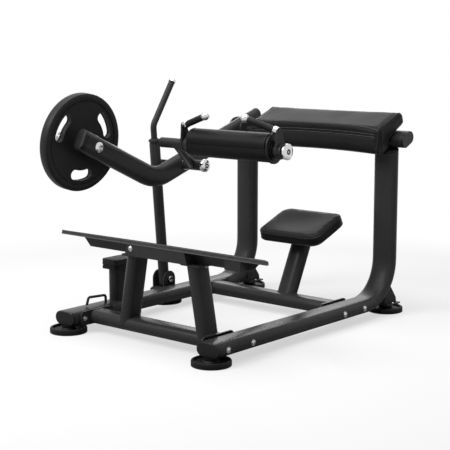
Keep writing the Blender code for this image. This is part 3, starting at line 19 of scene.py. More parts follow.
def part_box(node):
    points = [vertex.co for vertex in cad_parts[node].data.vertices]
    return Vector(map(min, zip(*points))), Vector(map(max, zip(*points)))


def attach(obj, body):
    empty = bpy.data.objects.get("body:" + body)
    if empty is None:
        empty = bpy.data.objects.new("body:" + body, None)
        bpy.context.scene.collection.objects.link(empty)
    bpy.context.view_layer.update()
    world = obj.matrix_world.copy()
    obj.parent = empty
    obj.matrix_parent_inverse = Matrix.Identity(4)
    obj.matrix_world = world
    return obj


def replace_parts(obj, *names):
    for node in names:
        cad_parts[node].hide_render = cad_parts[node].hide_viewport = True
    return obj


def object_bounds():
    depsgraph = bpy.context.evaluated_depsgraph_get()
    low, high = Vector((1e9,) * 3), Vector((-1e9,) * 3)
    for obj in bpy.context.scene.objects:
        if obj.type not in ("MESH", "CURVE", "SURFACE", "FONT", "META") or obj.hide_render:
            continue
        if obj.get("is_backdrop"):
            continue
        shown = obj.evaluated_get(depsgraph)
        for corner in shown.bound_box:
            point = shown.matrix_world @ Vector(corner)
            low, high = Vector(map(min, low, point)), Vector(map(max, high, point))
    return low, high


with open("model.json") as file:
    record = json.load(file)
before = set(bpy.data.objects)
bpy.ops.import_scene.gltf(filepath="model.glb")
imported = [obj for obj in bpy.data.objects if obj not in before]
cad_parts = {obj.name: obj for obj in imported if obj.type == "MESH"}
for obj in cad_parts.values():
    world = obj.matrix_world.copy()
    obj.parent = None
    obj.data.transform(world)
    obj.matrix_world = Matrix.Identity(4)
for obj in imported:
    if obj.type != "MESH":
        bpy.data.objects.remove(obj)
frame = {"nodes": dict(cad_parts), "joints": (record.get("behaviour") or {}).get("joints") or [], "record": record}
cad_box = [list(corner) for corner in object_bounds()]
nodes = frame["nodes"]
scene = bpy.context.scene
scene.view_settings.view_transform = "Standard"

# %% [markdown]
# A few short helpers save repetition in every later cell: an object for some data, a mesh from a bmesh and
# back, a mesh with an object's modifiers applied, and a node whose sockets are set or linked as it is made.

# %% Helpers for objects, meshes and nodes


def in_scene(name, data):
    """An object that carries the data, linked to the scene."""
    made = bpy.data.objects.new(name, data)
    scene.collection.objects.link(made)
    return made


def mesh_of(work, name):
    """The mesh of a bmesh, which is freed."""
    made = bpy.data.meshes.new(name)
    work.to_mesh(made)
    work.free()
    return made


def bmesh_of(mesh):
    work = bmesh.new()
    work.from_mesh(mesh)
    return work


def applied(piece):
    """A new mesh of a piece as its modifiers leave it."""
    bpy.context.view_layer.update()
    return bpy.data.meshes.new_from_object(piece.evaluated_get(bpy.context.evaluated_depsgraph_get()))


def node_in(tree, kind, sockets, **settings):
    """A node whose sockets get a value each, or a link from another node's output."""
    made = tree.nodes.new(kind)
    for label, value in settings.items():
        setattr(made, label, value)
    for label, value in sockets.items():
        if isinstance(value, bpy.types.NodeSocket):
            tree.links.new(value, made.inputs[label])
        else:
            made.inputs[label].default_value = value
    return made


def math_node(tree, operation, first, second):
    """The result of a math node on two values or outputs."""
    return node_in(tree, "ShaderNodeMath", {0: first, 1: second}, operation=operation).outputs[0]


def seen_white(tree):
    """A tree's light paths, and 1 for what the camera sees, and what reflections and glass show."""
    paths = tree.nodes.new("ShaderNodeLightPath").outputs
    mirrored = math_node(tree, "MAXIMUM", paths["Is Glossy Ray"], paths["Is Transmission Ray"])
    return paths, math_node(tree, "MAXIMUM", paths["Is Camera Ray"], mirrored)


print("small helpers: 7")

# %% [markdown]
# A product photo like this one is taken with a long lens from the height of the machine's own top, a little
# turned, so that the near rail runs away to the right. The camera stands where the rails, posts and pads
# line up with the photograph, and it dips by nine degrees, which needs no shift of the lens.

# %% Camera
CAMERA_PLACE = (3.4593, -4.1061, 1.2889)
CAMERA_TURN = math.radians(40.505)
CAMERA_DIP = math.radians(8.985)
SENSOR = 36.0
LENS = 95.876

camera = in_scene("camera", bpy.data.cameras.new("camera"))
camera.data.sensor_width = SENSOR
camera.data.lens = LENS
camera.location = CAMERA_PLACE
camera.rotation_euler = (math.pi / 2 - CAMERA_DIP, 0, CAMERA_TURN)
scene.camera = camera
print("camera", [round(value, 3) for value in camera.location], "lens", LENS)

# %% [markdown]
# The light of a catalogue picture is broad and soft. Here it comes from a wide panel overhead, from a
# second one at the front left, which draws a long highlight on the rolls and leaves the faces that look to
# the right darker, and from a dim one at the back left that edges the tops. The world shows white to the
# camera and to reflections, and is dimmer for what it throws on the machine, because an even light from all
# around would make black paint look grey and flat.

# %% Light and background
WORLD_LIGHT = 0.12
PANELS = (     # name, place, the point that it looks at, size in metres and watts
    ("overhead_panel", (0.1, -0.1, 3.4), (0, 0, 0), 3.2, 95),
    ("front_left_panel", (-2.0, -3.3, 3.9), (0, 0, 0.5), 2.4, 140),
    ("back_left_panel", (-2.6, 3.6, 2.4), (0, 0, 0.5), 1.8, 30),
)

for name, place, aim, size, watts in PANELS:
    lamp = bpy.data.lights.new(name, "AREA")
    lamp.size = size
    lamp.energy = watts
    holder = in_scene(name, lamp)
    holder.location = place
    holder.rotation_euler = (Vector(aim) - Vector(place)).to_track_quat("-Z", "Y").to_euler()

scene.world = bpy.data.worlds.new("studio")
scene.world.use_nodes = True
tree = scene.world.node_tree
seen = seen_white(tree)[1]
strength = node_in(tree, "ShaderNodeMapRange", {"To Min": WORLD_LIGHT, "To Max": 1.0, "Value": seen})
tree.nodes["Background"].inputs["Color"].default_value = (1, 1, 1, 1)
tree.links.new(strength.outputs["Result"], tree.nodes["Background"].inputs["Strength"])
print("lamps:", len(PANELS))

# %% [markdown]
# Surface effects that several finishes share are node groups, built once: a fine grain with slow mottling,
# a leather grain of small cells and creases, long faint scratches, and dust that settles on what faces
# upwards. All read Object coordinates, which are metres here, so a scale of 1000 is a grain of about a
# millimetre.

# %% Shared surface effects
CELL_EDGE = 0.16
SCRATCHES = ((0.5, (30.0, 900.0, 30.0)), (-0.9, (700.0, 40.0, 60.0)))     # turn and scale of each stroke
STROKE_FROM = 0.74
PATCH_FROM = 0.60


def shader_group(name, inputs, outputs):
    """An empty shader node group with float inputs, given with their values, and float outputs."""
    group = bpy.data.node_groups.new(name, "ShaderNodeTree")
    for label, value in inputs.items():
        socket = group.interface.new_socket(label, in_out="INPUT", socket_type="NodeSocketFloat")
        socket.default_value = value
    for label in outputs:
        group.interface.new_socket(label, in_out="OUTPUT", socket_type="NodeSocketFloat")
    return group, group.nodes.new("NodeGroupInput").outputs, group.nodes.new("NodeGroupOutput").inputs


def object_point(group):
    return group.nodes.new("ShaderNodeTexCoord").outputs["Object"]


def noise(group, point, detail, scale):
    """A noise texture on a point."""
    sockets = {"Vector": point, "Detail": detail, "Scale": scale}
    return node_in(group, "ShaderNodeTexNoise", sockets).outputs["Fac"]


grain, source, result = shader_group(
    "fine grain", {"Scale": 900.0, "Mottle Scale": 9.0}, ["Height", "Mottle"]
)
spot = object_point(grain)
grain.links.new(noise(grain, spot, 2.0, source["Scale"]), result["Height"])
grain.links.new(noise(grain, spot, 5.0, source["Mottle Scale"]), result["Mottle"])

leather, source, result = shader_group(
    "leather grain", {"Scale": 700.0, "Crease Scale": 26.0}, ["Height", "Mottle"]
)
spot = object_point(leather)
sockets = {"Vector": spot, "Scale": source["Scale"]}
cells = node_in(leather, "ShaderNodeTexVoronoi", sockets, feature="DISTANCE_TO_EDGE")
rounded_cells = math_node(leather, "MINIMUM", cells.outputs["Distance"], CELL_EDGE)
creases = math_node(leather, "MULTIPLY", noise(leather, spot, 4.0, source["Crease Scale"]), 0.5)
leather.links.new(math_node(leather, "ADD", rounded_cells, creases), result["Height"])
leather.links.new(noise(leather, spot, 3.0, 7.0), result["Mottle"])

scratches, source, result = shader_group("faint scratches", {"Amount": 0.5}, ["Mask"])
spot = object_point(scratches)
strokes = []
for turn, squeeze in SCRATCHES:
    sockets = {"Rotation": (turn, turn * 0.7, turn), "Scale": squeeze, "Vector": spot}
    stretched = node_in(scratches, "ShaderNodeMapping", sockets).outputs["Vector"]
    strokes.append(math_node(scratches, "GREATER_THAN", noise(scratches, stretched, 0.0, 1.0), STROKE_FROM))
patches = math_node(scratches, "GREATER_THAN", noise(scratches, spot, 2.0, 11.0), PATCH_FROM)
marks = math_node(scratches, "MULTIPLY", math_node(scratches, "MAXIMUM", *strokes), patches)
scratches.links.new(math_node(scratches, "MULTIPLY", marks, source["Amount"]), result["Mask"])

dust, source, result = shader_group("settled dust", {"Amount": 0.3}, ["Mask"])
normal = dust.nodes.new("ShaderNodeNewGeometry").outputs["Normal"]
up = node_in(dust, "ShaderNodeSeparateXYZ", {"Vector": normal}).outputs["Z"]
upward = math_node(dust, "POWER", math_node(dust, "MAXIMUM", up, 0.0), 3.0)
drift = math_node(dust, "MULTIPLY", upward, noise(dust, object_point(dust), 6.0, 14.0))
dust.links.new(math_node(dust, "MULTIPLY", drift, source["Amount"]), result["Mask"])
print("shader groups:", [group.name for group in bpy.data.node_groups])

# %% [markdown]
# One function writes every finish: a base colour that drifts a little towards a second tone, a roughness
# that drifts with it, scratches that are lighter, dust, and a bump from the grain. What differs between
# powder coat, rubber, vinyl and chrome is only the numbers, the grain group and the metal value.

# %% Finishes
DUST_COLOUR = (0.16, 0.155, 0.15)
SCRATCHED = 0.12
GRAIN_DEPTH = 0.0002


def finish(name, tones, rough, grain_group, scales, bump,
           specular=0.35, metallic=0.0, sheen=0.0, dusty=0.04, blue=(0.0, 0.0)):
    """A material with two mottled greys, drifting roughness, scratches, dust and a fine bump."""
    made = bpy.data.materials.new(name)
    made.use_nodes = True
    tree = made.node_tree
    shader = tree.nodes["Principled BSDF"].inputs
    shader["Metallic"].default_value = metallic
    shader["Specular IOR Level"].default_value = specular
    shader["Sheen Weight"].default_value = sheen
    surface = node_in(tree, "ShaderNodeGroup", {0: scales[0], 1: scales[1]}, node_tree=grain_group).outputs
    marked, settled = [
        node_in(tree, "ShaderNodeGroup", {"Amount": amount}, node_tree=group).outputs["Mask"]
        for group, amount in ((scratches, SCRATCHED), (dust, dusty))
    ]
    first, second = [(tone, tone, tone + more) for tone, more in zip(tones, blue)]
    paler = [min(1.0, part * 2.2 + 0.01) for part in second]
    colour = (*first, 1)
    for mask, layer in ((surface["Mottle"], second), (marked, paler), (settled, DUST_COLOUR)):
        sockets = {"A": colour, "B": (*layer, 1), "Factor": mask}
        colour = node_in(tree, "ShaderNodeMix", sockets, data_type="RGBA").outputs["Result"]
    tree.links.new(colour, shader["Base Color"])
    middle_rough, drift = rough
    drifting = node_in(tree, "ShaderNodeMapRange", {
        "From Min": 0.3, "From Max": 0.7, "To Min": middle_rough - drift, "To Max": middle_rough + drift,
        "Value": surface["Mottle"],
    })
    tree.links.new(drifting.outputs["Result"], shader["Roughness"])
    sockets = {"Strength": bump, "Distance": GRAIN_DEPTH, "Height": surface["Height"]}
    tree.links.new(node_in(tree, "ShaderNodeBump", sockets).outputs["Normal"], shader["Normal"])
    return made


METAL = {"metallic": 1.0, "dusty": 0.0}
POWDER_COAT = finish(
    "satin powder coat", (0.034, 0.046), (0.28, 0.05), grain, (800.0, 8.0), 0.22, specular=0.11,
    blue=(0.001, 0.001),
)
FOOT_RUBBER = finish("foot rubber", (0.007, 0.011), (0.50, 0.08), grain, (420.0, 22.0), 0.4, specular=0.14)
PLATE_RUBBER = finish(
    "moulded plate rubber", (0.013, 0.021), (0.42, 0.06), grain, (520.0, 12.0), 0.4, specular=0.16
)
PLATFORM_RUBBER = finish(
    "platform rubber", (0.085, 0.110), (0.52, 0.08), grain, (600.0, 10.0), 0.5, specular=0.3, dusty=0.3
)
GRIP_RUBBER = finish("grip rubber", (0.008, 0.013), (0.50, 0.05), grain, (1100.0, 40.0), 0.5, specular=0.2)
CAP_PLASTIC = finish(
    "moulded black plastic", (0.009, 0.014), (0.38, 0.05), grain, (1300.0, 30.0), 0.3, specular=0.2
)
VINYL = finish("black leatherette", (0.010, 0.014), (0.44, 0.05), leather, (620.0, 24.0), 0.25, specular=0.08)
PIPING_VINYL = finish(
    "piping leatherette", (0.009, 0.014), (0.30, 0.05), leather, (1500.0, 60.0), 0.2, specular=0.3
)
THREAD = finish(
    "black thread", (0.020, 0.034), (0.62, 0.06), grain, (2600.0, 90.0), 0.6, specular=0.2, sheen=0.2
)
CHROME = finish(
    "polished chrome", (0.58, 0.68), (0.08, 0.03), grain, (240.0, 30.0), 0.01, blue=(0.01, 0.01), **METAL
)
ZINC = finish(
    "bright zinc", (0.42, 0.54), (0.24, 0.07), grain, (900.0, 80.0), 0.08, blue=(0.01, 0.0), **METAL
)
TURNED_STEEL = finish(
    "turned steel", (0.30, 0.40), (0.32, 0.06), grain, (1500.0, 60.0), 0.15, blue=(0.01, 0.0), **METAL
)
GREY_INSERT = finish(
    "grey plastic insert", (0.11, 0.15), (0.42, 0.05), grain, (1500.0, 60.0), 0.2, specular=0.25,
    blue=(0.005, 0.0),
)

FINISH_OF_SLOT = {
    "frame_paint": POWDER_COAT,
    "cap_plastic": CAP_PLASTIC,
    "platform_rubber": PLATFORM_RUBBER,
    "foot_rubber": FOOT_RUBBER,
    "grip_rubber": GRIP_RUBBER,
    "plate_rubber": PLATE_RUBBER,
    "upholstery": VINYL,
    "chrome": CHROME,
    "pin_steel": TURNED_STEEL,
}
slot_of_node = {item["node"]: item["material_slot"] for item in frame["record"]["subparts"]}
for name, node in nodes.items():
    for slot in node.material_slots:
        slot.material = FINISH_OF_SLOT[slot_of_node[name]]
print("finishes:", len(bpy.data.materials), "on", len(nodes), "nodes")

# %% [markdown]
# The solids arrive as loose triangles, each with its own flat shading, so a round tube would look faceted.
# A small geometry node group welds the triangles for the eye only, and shades smoothly across every edge
# that turns by less than a limit, while sharper edges stay crisp. The solid's own mesh isn't touched.

# %% Smooth shading for the solids
CRISP_FROM = math.radians(34)
WELD_WITHIN = 0.00002

shading = bpy.data.node_groups.new("smooth round faces", "GeometryNodeTree")
for direction in ("INPUT", "OUTPUT"):
    shading.interface.new_socket("Mesh", in_out=direction, socket_type="NodeSocketGeometry")
bend = shading.nodes.new("GeometryNodeInputMeshEdgeAngle").outputs["Unsigned Angle"]
sockets = {"Selection": math_node(shading, "GREATER_THAN", bend, CRISP_FROM), "Shade Smooth": False}
steps = [
    shading.nodes.new("NodeGroupInput"),
    node_in(shading, "GeometryNodeRemoveAttribute", {"Name": "custom_normal"}),
    node_in(shading, "GeometryNodeMergeByDistance", {"Distance": WELD_WITHIN}),
    shading.nodes.new("GeometryNodeSetShadeSmooth"),
    node_in(shading, "GeometryNodeSetShadeSmooth", sockets, domain="EDGE"),
    shading.nodes.new("NodeGroupOutput"),
]
for first, second in zip(steps, steps[1:]):
    shading.links.new(first.outputs[0], second.inputs[0])
for node in nodes.values():
    node.modifiers.new("shading", "NODES").node_group = shading
print("smooth shading on", len(nodes), "solids")

# %% [markdown]
# The helpers below are used by every new piece. A copy of a solid, welded into one mesh, gives a surface to
# cut, to cast rays at or to pad out. A cut through a mesh by a plane gives closed lines that lie exactly on
# its surface, which is what a seam or a weld follows.

# %% Helpers for surfaces and lines


def welded_copy(name):
    """A bmesh of a solid with its loose triangles joined."""
    work = bmesh_of(nodes[name].data)
    bmesh.ops.remove_doubles(work, verts=work.verts, dist=WELD_WITHIN)
    work.normal_update()
    return work


def chains(edges):
    """Joins loose edges end to end into ordered lists of points."""
    left = set(edges)
    found = []
    while left:
        edge = left.pop()
        line = list(edge.verts)
        for end_first in (False, True):
            while True:
                tip = line[0] if end_first else line[-1]
                step = next((other for other in tip.link_edges if other in left), None)
                if step is None:
                    break
                left.discard(step)
                line.insert(0 if end_first else len(line), step.other_vert(tip))
        found.append([vert.co.copy() for vert in line])
    return sorted(found, key=len, reverse=True)


def cut_lines(work, point, normal):
    """The lines where a plane meets a mesh, as ordered points, the longest first."""
    copy = work.copy()
    everything = copy.verts[:] + copy.edges[:] + copy.faces[:]
    cut = bmesh.ops.bisect_plane(copy, geom=everything, dist=1e-6, plane_co=point, plane_no=normal)
    lines = chains([item for item in cut["geom_cut"] if isinstance(item, bmesh.types.BMEdge)])
    copy.free()
    return lines


def level_cut(work, height):
    """A mesh's longest outline at a height."""
    return cut_lines(work, Vector((0, 0, height)), Vector((0, 0, 1)))[0]


def centre_of(line):
    return sum(line, Vector()) / len(line)


def evenly(line, pitch, closed=True):
    """The same line with its points an even step apart."""
    points = line + [line[0]] if closed and (line[0] - line[-1]).length > 1e-6 else line
    steps = [(b - a).length for a, b in zip(points, points[1:])]
    along = np.concatenate([[0.0], np.cumsum(steps)])
    count = max(4, round(along[-1] / pitch))
    wanted = np.linspace(0.0, along[-1], count, endpoint=not closed)
    table = np.array([tuple(point) for point in points])
    return [Vector([np.interp(at, along, table[:, axis]) for axis in range(3)]) for at in wanted]


def eased(line, rounds, closed=True):
    """Takes the kinks out of a line by moving each point towards its neighbours."""
    points = [point.copy() for point in line]
    for _ in range(rounds):
        ahead = points[1:] + points[:1]
        moved = [(points[i - 1] + 2 * point + ahead[i]) / 4 for i, point in enumerate(points)]
        if not closed:
            moved[0], moved[-1] = points[0], points[-1]
        points = moved
    return points


def piece_of(name, work, body, look, crisp_from=40):
    """Makes a bmesh a piece of the machine: its finish and the body that it rides on."""
    bmesh.ops.recalc_face_normals(work, faces=work.faces)
    mesh = mesh_of(work, name)
    mesh.materials.append(look)
    for polygon in mesh.polygons:
        polygon.use_smooth = True
    mesh.set_sharp_from_angle(angle=math.radians(crisp_from))
    piece = in_scene(name, mesh)
    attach(piece, body)
    return piece


def strand(name, lines, radius, body, look, closed=True, swell=None):
    """Round cords along lines, as one piece. swell(i) widens the cord at its i-th point."""
    data = bpy.data.curves.new(name, "CURVE")
    data.dimensions = "3D"
    data.bevel_depth = radius
    data.bevel_resolution = 2
    data.use_fill_caps = True
    for line in lines:
        spline = data.splines.new("POLY")
        spline.points.add(len(line) - 1)
        for i, point in enumerate(line):
            spline.points[i].co = (*point, 1)
            spline.points[i].radius = swell(i) if swell else 1.0
        spline.use_cyclic_u = closed
    holder = in_scene(name + "_path", data)
    work = bmesh_of(applied(holder))
    bpy.data.objects.remove(holder)
    bmesh.ops.remove_doubles(work, verts=work.verts, dist=1e-6)
    return piece_of(name, work, body, look)


def facing(point, aim):
    """The place of a form that was made about the Z axis: at a point, with its Z towards aim."""
    return Matrix.Translation(point) @ Vector(aim).to_track_quat("Z", "Y").to_matrix().to_4x4()


def middle(name):
    low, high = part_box(name)
    return (low + high) / 2


print("helpers ready; the machine is", [round(b - a, 3) for a, b in zip(*cad_box)])

# %% [markdown]
# The pads are firm foam under leatherette. Each starts from its solid, turned level so that a voxel remesh
# lies square on it, and drawn in a little. Cloth pressure then swells it: the underside is held, as it
# rests on its board, and no point moves further than a cap, so the pad crowns without growing soft. The
# seat's top is then dished and the back pad's front edge drawn back in the middle. Each is turned back,
# subdivided once and given its grain by the finish.

# %% Upholstery
SWELL_FRAMES = 20
PRESSURE = 4.0
FIRMNESS = 25.0
FOOT_KEPT = 0.004        # above a pad's base: what isn't drawn in
HELD_BELOW = 0.006       # above its base: what the board holds


def pad(name, node, body, slope=0.0, draw_in=0.002, cap=0.005, voxel=0.005, held=True, form=None, rounds=1):
    """A padded piece that stands for a soft solid, and the welded bmesh of its finished surface."""
    work = welded_copy(node)
    centre = middle(node)
    level = Matrix.Rotation(-slope, 4, "X") @ Matrix.Translation(-centre)
    work.transform(level)
    work.normal_update()
    base = min(vert.co.z for vert in work.verts)
    for vert in work.verts:
        if not held or vert.co.z > base + FOOT_KEPT:
            vert.co -= vert.normal * draw_in
    piece = in_scene(name, mesh_of(work, name))
    remesh = piece.modifiers.new("even faces", "REMESH")
    remesh.mode = "VOXEL"
    remesh.voxel_size = voxel
    piece.data = applied(piece)
    piece.modifiers.clear()
    before = [vert.co.copy() for vert in piece.data.vertices]
    if held:
        rest = piece.vertex_groups.new(name="held")
        rest.add([i for i, place in enumerate(before) if place.z < base + HELD_BELOW], 1.0, "REPLACE")
    cloth = piece.modifiers.new("swelling", "CLOTH")
    cloth.settings.use_pressure = True
    cloth.settings.uniform_pressure_force = PRESSURE
    cloth.settings.effector_weights.gravity = 0.0
    cloth.settings.tension_stiffness = FIRMNESS
    cloth.settings.compression_stiffness = FIRMNESS
    if held:
        cloth.settings.vertex_group_mass = "held"
    for step in range(1, SWELL_FRAMES + 1):
        scene.frame_set(step)
    swollen = piece.evaluated_get(bpy.context.evaluated_depsgraph_get()).data
    moved = [vert.co.copy() for vert in swollen.vertices]
    piece.modifiers.clear()
    scene.frame_set(1)
    for vert, old, new in zip(piece.data.vertices, before, moved):
        shift = new - old
        vert.co = old + shift * min(1.0, cap / max(shift.length, 1e-9))
    work = bmesh_of(piece.data)
    for _ in range(rounds):
        bmesh.ops.smooth_vert(
            work, verts=work.verts, factor=0.5, use_axis_x=True, use_axis_y=True, use_axis_z=True
        )
    if form:
        low, high = [
            Vector([end(vert.co[axis] for vert in work.verts) for axis in range(3)]) for end in (min, max)
        ]
        for vert in work.verts:
            vert.co += form(vert.co, low, high)
    work.transform(level.inverted())
    bmesh.ops.recalc_face_normals(work, faces=work.faces)
    surface = work.copy()
    work.to_mesh(piece.data)
    work.free()
    for polygon in piece.data.polygons:
        polygon.use_smooth = True
    piece.data.materials.clear()
    piece.data.materials.append(VINYL)
    finer = piece.modifiers.new("finer", "SUBSURF")
    finer.levels = 1
    finer.render_levels = 1
    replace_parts(piece, node)
    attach(piece, body)
    print(name, "has", len(piece.data.polygons), "faces before it is subdivided")
    return piece, surface


SEAT_SLOPE = math.radians(21)
BACK_SLOPE = math.radians(25)
SEAT_DISH = 0.009
BACK_HOLLOW = 0.020
LIP_DEEP = 0.080
DISH_REACH = 0.86        # of the seat's half sizes


def dished(spot, low, high):
    """Lowers the seat's middle, most at its top face."""
    centre = (low + high) / 2
    half = (high - low) / 2
    across, along = [max(0.0, 1 - ((spot[i] - centre[i]) / (half[i] * DISH_REACH)) ** 2) for i in (0, 1)]
    height = max(0.0, (spot.z - centre.z) / half.z)
    return Vector((0, 0, -SEAT_DISH * across * along * height))


def hollowed(spot, low, high):
    """Draws the back pad's front edge back in the middle, so that it curves round the sitter."""
    across = 1 - ((spot.x - (low.x + high.x) / 2) / ((high.x - low.x) / 2)) ** 2
    share = min(1.0, max(0.0, (low.y + LIP_DEEP - spot.y) / (LIP_DEEP * 0.6)))
    return Vector((0, BACK_HOLLOW * across * share * share * (3 - 2 * share), 0))


seat_pad, seat_skin = pad(
    "seat_pad", "seat_cushion", "frame", SEAT_SLOPE, cap=0.003, voxel=0.004, form=dished
)
back_pad, back_skin = pad(
    "back_pad", "back_pad_cushion", "frame", BACK_SLOPE, voxel=0.006, form=hollowed, rounds=2
)
hip_skin = pad("hip_roll", "hip_pad", "yoke", held=False, draw_in=0.001, cap=0.0015)[1]
saddle_skin = pad("saddle_pad", "hip_saddle", "yoke", draw_in=0.001, cap=0.0025, voxel=0.004)[1]

# %% [markdown]
# Leatherette is sewn from a top panel and side bands, and each seam holds a thin piping. A plane through
# the finished pad gives the seam's line, so it lies on the swollen skin. The stitches run beside it, one
# short thread every few millimetres, each a tiny rod with few faces because there are hundreds.

# %% Seams and stitches
PIPING = 0.0019
STITCH_PITCH = 0.007
STITCH_LONG = 0.0042
STITCH_RADIUS = 0.00042
SEAM_STEP = 0.004


def seam_line(skin, point, normal, rounds=6):
    return eased(evenly(cut_lines(skin, point, normal)[0], SEAM_STEP), rounds)


def stitch_row(work, skin, line, aside):
    """Adds a row of short threads beside a line, each laid on the skin."""
    tree = BVHTree.FromBMesh(skin)
    for spot, ahead in zip(line, line[1:] + line[:1]):
        if (ahead - spot).length > 2 * STITCH_PITCH:
            continue
        place, normal, _, _ = tree.find_nearest(spot + aside)
        lay = facing(place + normal * STITCH_RADIUS * 0.4, ahead - spot)
        bmesh.ops.create_cone(
            work, cap_ends=True, segments=5, radius1=STITCH_RADIUS, radius2=STITCH_RADIUS, depth=STITCH_LONG,
            matrix=lay,
        )


def in_slope(name, slope):
    """A solid's box in axes that are turned with its slope: its middle, its half sizes and those axes."""
    turn = Matrix.Rotation(-slope, 3, "X")
    places = np.array([tuple(turn @ vert.co) for vert in nodes[name].data.vertices])
    low, high = places.min(0), places.max(0)
    back = turn.inverted()
    axes = [back @ Vector(axis) for axis in ((1, 0, 0), (0, 1, 0), (0, 0, 1))]
    return back @ Vector((low + high) / 2), Vector((high - low) / 2), axes


seat_centre, seat_half, seat_axes = in_slope("seat_cushion", SEAT_SLOPE)
back_centre, back_half, back_axes = in_slope("back_pad_cushion", BACK_SLOPE)
SEAT_SEAMS = (0.013, 0.046)      # below the seat's top: under the top panel and above the base
BACK_END_SEAM = 0.016            # in from each end of the back pad
ROLL_END_SEAM = 0.010

seat_lines = [
    seam_line(seat_skin, seat_centre + seat_axes[2] * (seat_half.z - depth), seat_axes[2])
    for depth in SEAT_SEAMS
]
strand("seat_piping", seat_lines, PIPING, "frame", PIPING_VINYL)
threads = bmesh.new()
for aside in (0.006, -0.005):
    stitch_row(threads, seat_skin, evenly(seat_lines[0], STITCH_PITCH), seat_axes[2] * aside)
piece_of("seat_stitches", threads, "frame", THREAD)

back_ends = [
    seam_line(back_skin, back_centre + back_axes[0] * side * (back_half.x - BACK_END_SEAM), back_axes[0], 2)
    for side in (-1, 1)
]
strand("back_pad_end_piping", back_ends, PIPING, "frame", PIPING_VINYL)

roll_lines = []
for skin, node in ((hip_skin, "hip_pad"), (saddle_skin, "hip_saddle")):
    low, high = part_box(node)
    for x in (low.x + ROLL_END_SEAM, high.x - ROLL_END_SEAM):
        roll_lines.append(seam_line(skin, Vector((x, 0, 0)), Vector((1, 0, 0)), 2))
strand("hip_piping", roll_lines, PIPING * 0.7, "yoke", PIPING_VINYL)
print("seams:", len(seat_lines) + len(back_ends) + len(roll_lines))

# %% [markdown]
# The front of the back pad is sewn from panels: the flat top, two narrow bands that roll over the edge, and
# the lip that hangs in front. Three seams run the whole length between them. Each is found by casting rays
# at the pad from in front and above, at a fixed turn about the pad's rounded front edge. A seam pulls the
# skin in, so the points of the pad near a line sink a little, less and less with their distance.

# %% Long seams of the back pad
BAND_SEAMS = [math.radians(turn) for turn in (98, 68, 44)]     # above the pad's plane, seen from its front
HUB_BACK = 0.055                 # what the seams turn about: back from the pad's front
HUB_DOWN = 0.050                 # and down from its top
SEAM_SPOTS = 120
front_edge = back_centre - back_axes[1] * (back_half.y - HUB_BACK) + back_axes[2] * (back_half.z - HUB_DOWN)
back_tree = BVHTree.FromBMesh(back_skin)
long_seams = []
reach = back_half.x - BACK_END_SEAM - 0.002
for angle in BAND_SEAMS:
    out = -back_axes[1] * math.cos(angle) + back_axes[2] * math.sin(angle)
    line = []
    for step in range(SEAM_SPOTS + 1):
        x = reach * (2 * step / SEAM_SPOTS - 1)
        hollow = back_axes[1] * BACK_HOLLOW * (1 - (x / back_half.x) ** 2)
        hit = back_tree.ray_cast(front_edge + back_axes[0] * x + hollow + out * 0.3, -out)[0]
        if hit is not None:
            line.append(hit)
    long_seams.append(eased(line, 4, closed=False))
strand("back_pad_long_piping", long_seams, PIPING, "frame", PIPING_VINYL, closed=False)
threads = bmesh.new()
beside = back_axes[2] * 0.005 + back_axes[1] * 0.004
for line in long_seams:
    for aside in (beside, -beside):
        stitch_row(threads, back_skin, evenly(line, STITCH_PITCH, closed=False), aside)
piece_of("back_pad_stitches", threads, "frame", THREAD)


def sewn_in(piece, lines, depth=0.0016, width=0.006):
    """Sinks a pad's skin along its seams."""
    tree = KDTree(sum(len(line) for line in lines))
    spots = [spot for line in lines for spot in line]
    for i, spot in enumerate(spots):
        tree.insert(spot, i)
    tree.balance()
    normals = [vert.normal.copy() for vert in piece.data.vertices]
    for vert, normal in zip(piece.data.vertices, normals):
        away = tree.find(vert.co)[2]
        if away < 3 * width:
            vert.co -= normal * depth * math.exp(-((away / width) ** 2))


sewn_in(back_pad, long_seams + back_ends)
sewn_in(seat_pad, seat_lines)
print("long seams:", [len(line) for line in long_seams])

# %% [markdown]
# Bolts, nuts and caps are all turned or hexagonal forms on one axis. Each starts as a flat disc whose top
# face is extruded again and again, to a new height and a new radius each time. Where a step is hexagonal,
# its points slide along their spokes onto a hexagon, which makes a nut outside and a key socket inside.

# %% Fasteners


def stacked(steps, sides=24):
    """A mesh about Z from steps of (height, radius), and True where hexagonal. The first is its flat foot."""
    work = bmesh.new()
    bmesh.ops.create_circle(work, cap_ends=True, segments=sides, radius=steps[0][1])
    face = next(iter(work.faces))

    def place(verts, height, radius, hexagonal=False):
        for vert in verts:
            angle = math.atan2(vert.co.y, vert.co.x)
            out = radius / math.cos(angle % (math.pi / 3) - math.pi / 6) if hexagonal else radius
            vert.co = (math.cos(angle) * out, math.sin(angle) * out, height)

    place(face.verts, *steps[0])
    for step in steps[1:]:
        face = bmesh.ops.extrude_discrete_faces(work, faces=[face])["faces"][0]
        place(face.verts, *step)
    bmesh.ops.holes_fill(work, edges=[edge for edge in work.edges if edge.is_boundary], sides=0)
    bmesh.ops.recalc_face_normals(work, faces=work.faces)
    return mesh_of(work, "form")


def button_bolt(washer, head, sunk=0.0):
    """A washer with a button head on it, and a key socket in the head."""
    rise = head * 0.55
    return stacked([
        (-sunk, washer),
        (0.0016, washer),
        (0.0020, washer - 0.0005),
        (0.0020, head),
        (0.0020 + rise * 0.45, head * 0.97),
        (0.0020 + rise * 0.80, head * 0.80),
        (0.0020 + rise, head * 0.55),
        (0.0020 + rise, head * 0.36, True),
        (0.0020 + rise * 0.35, head * 0.34, True),
    ])


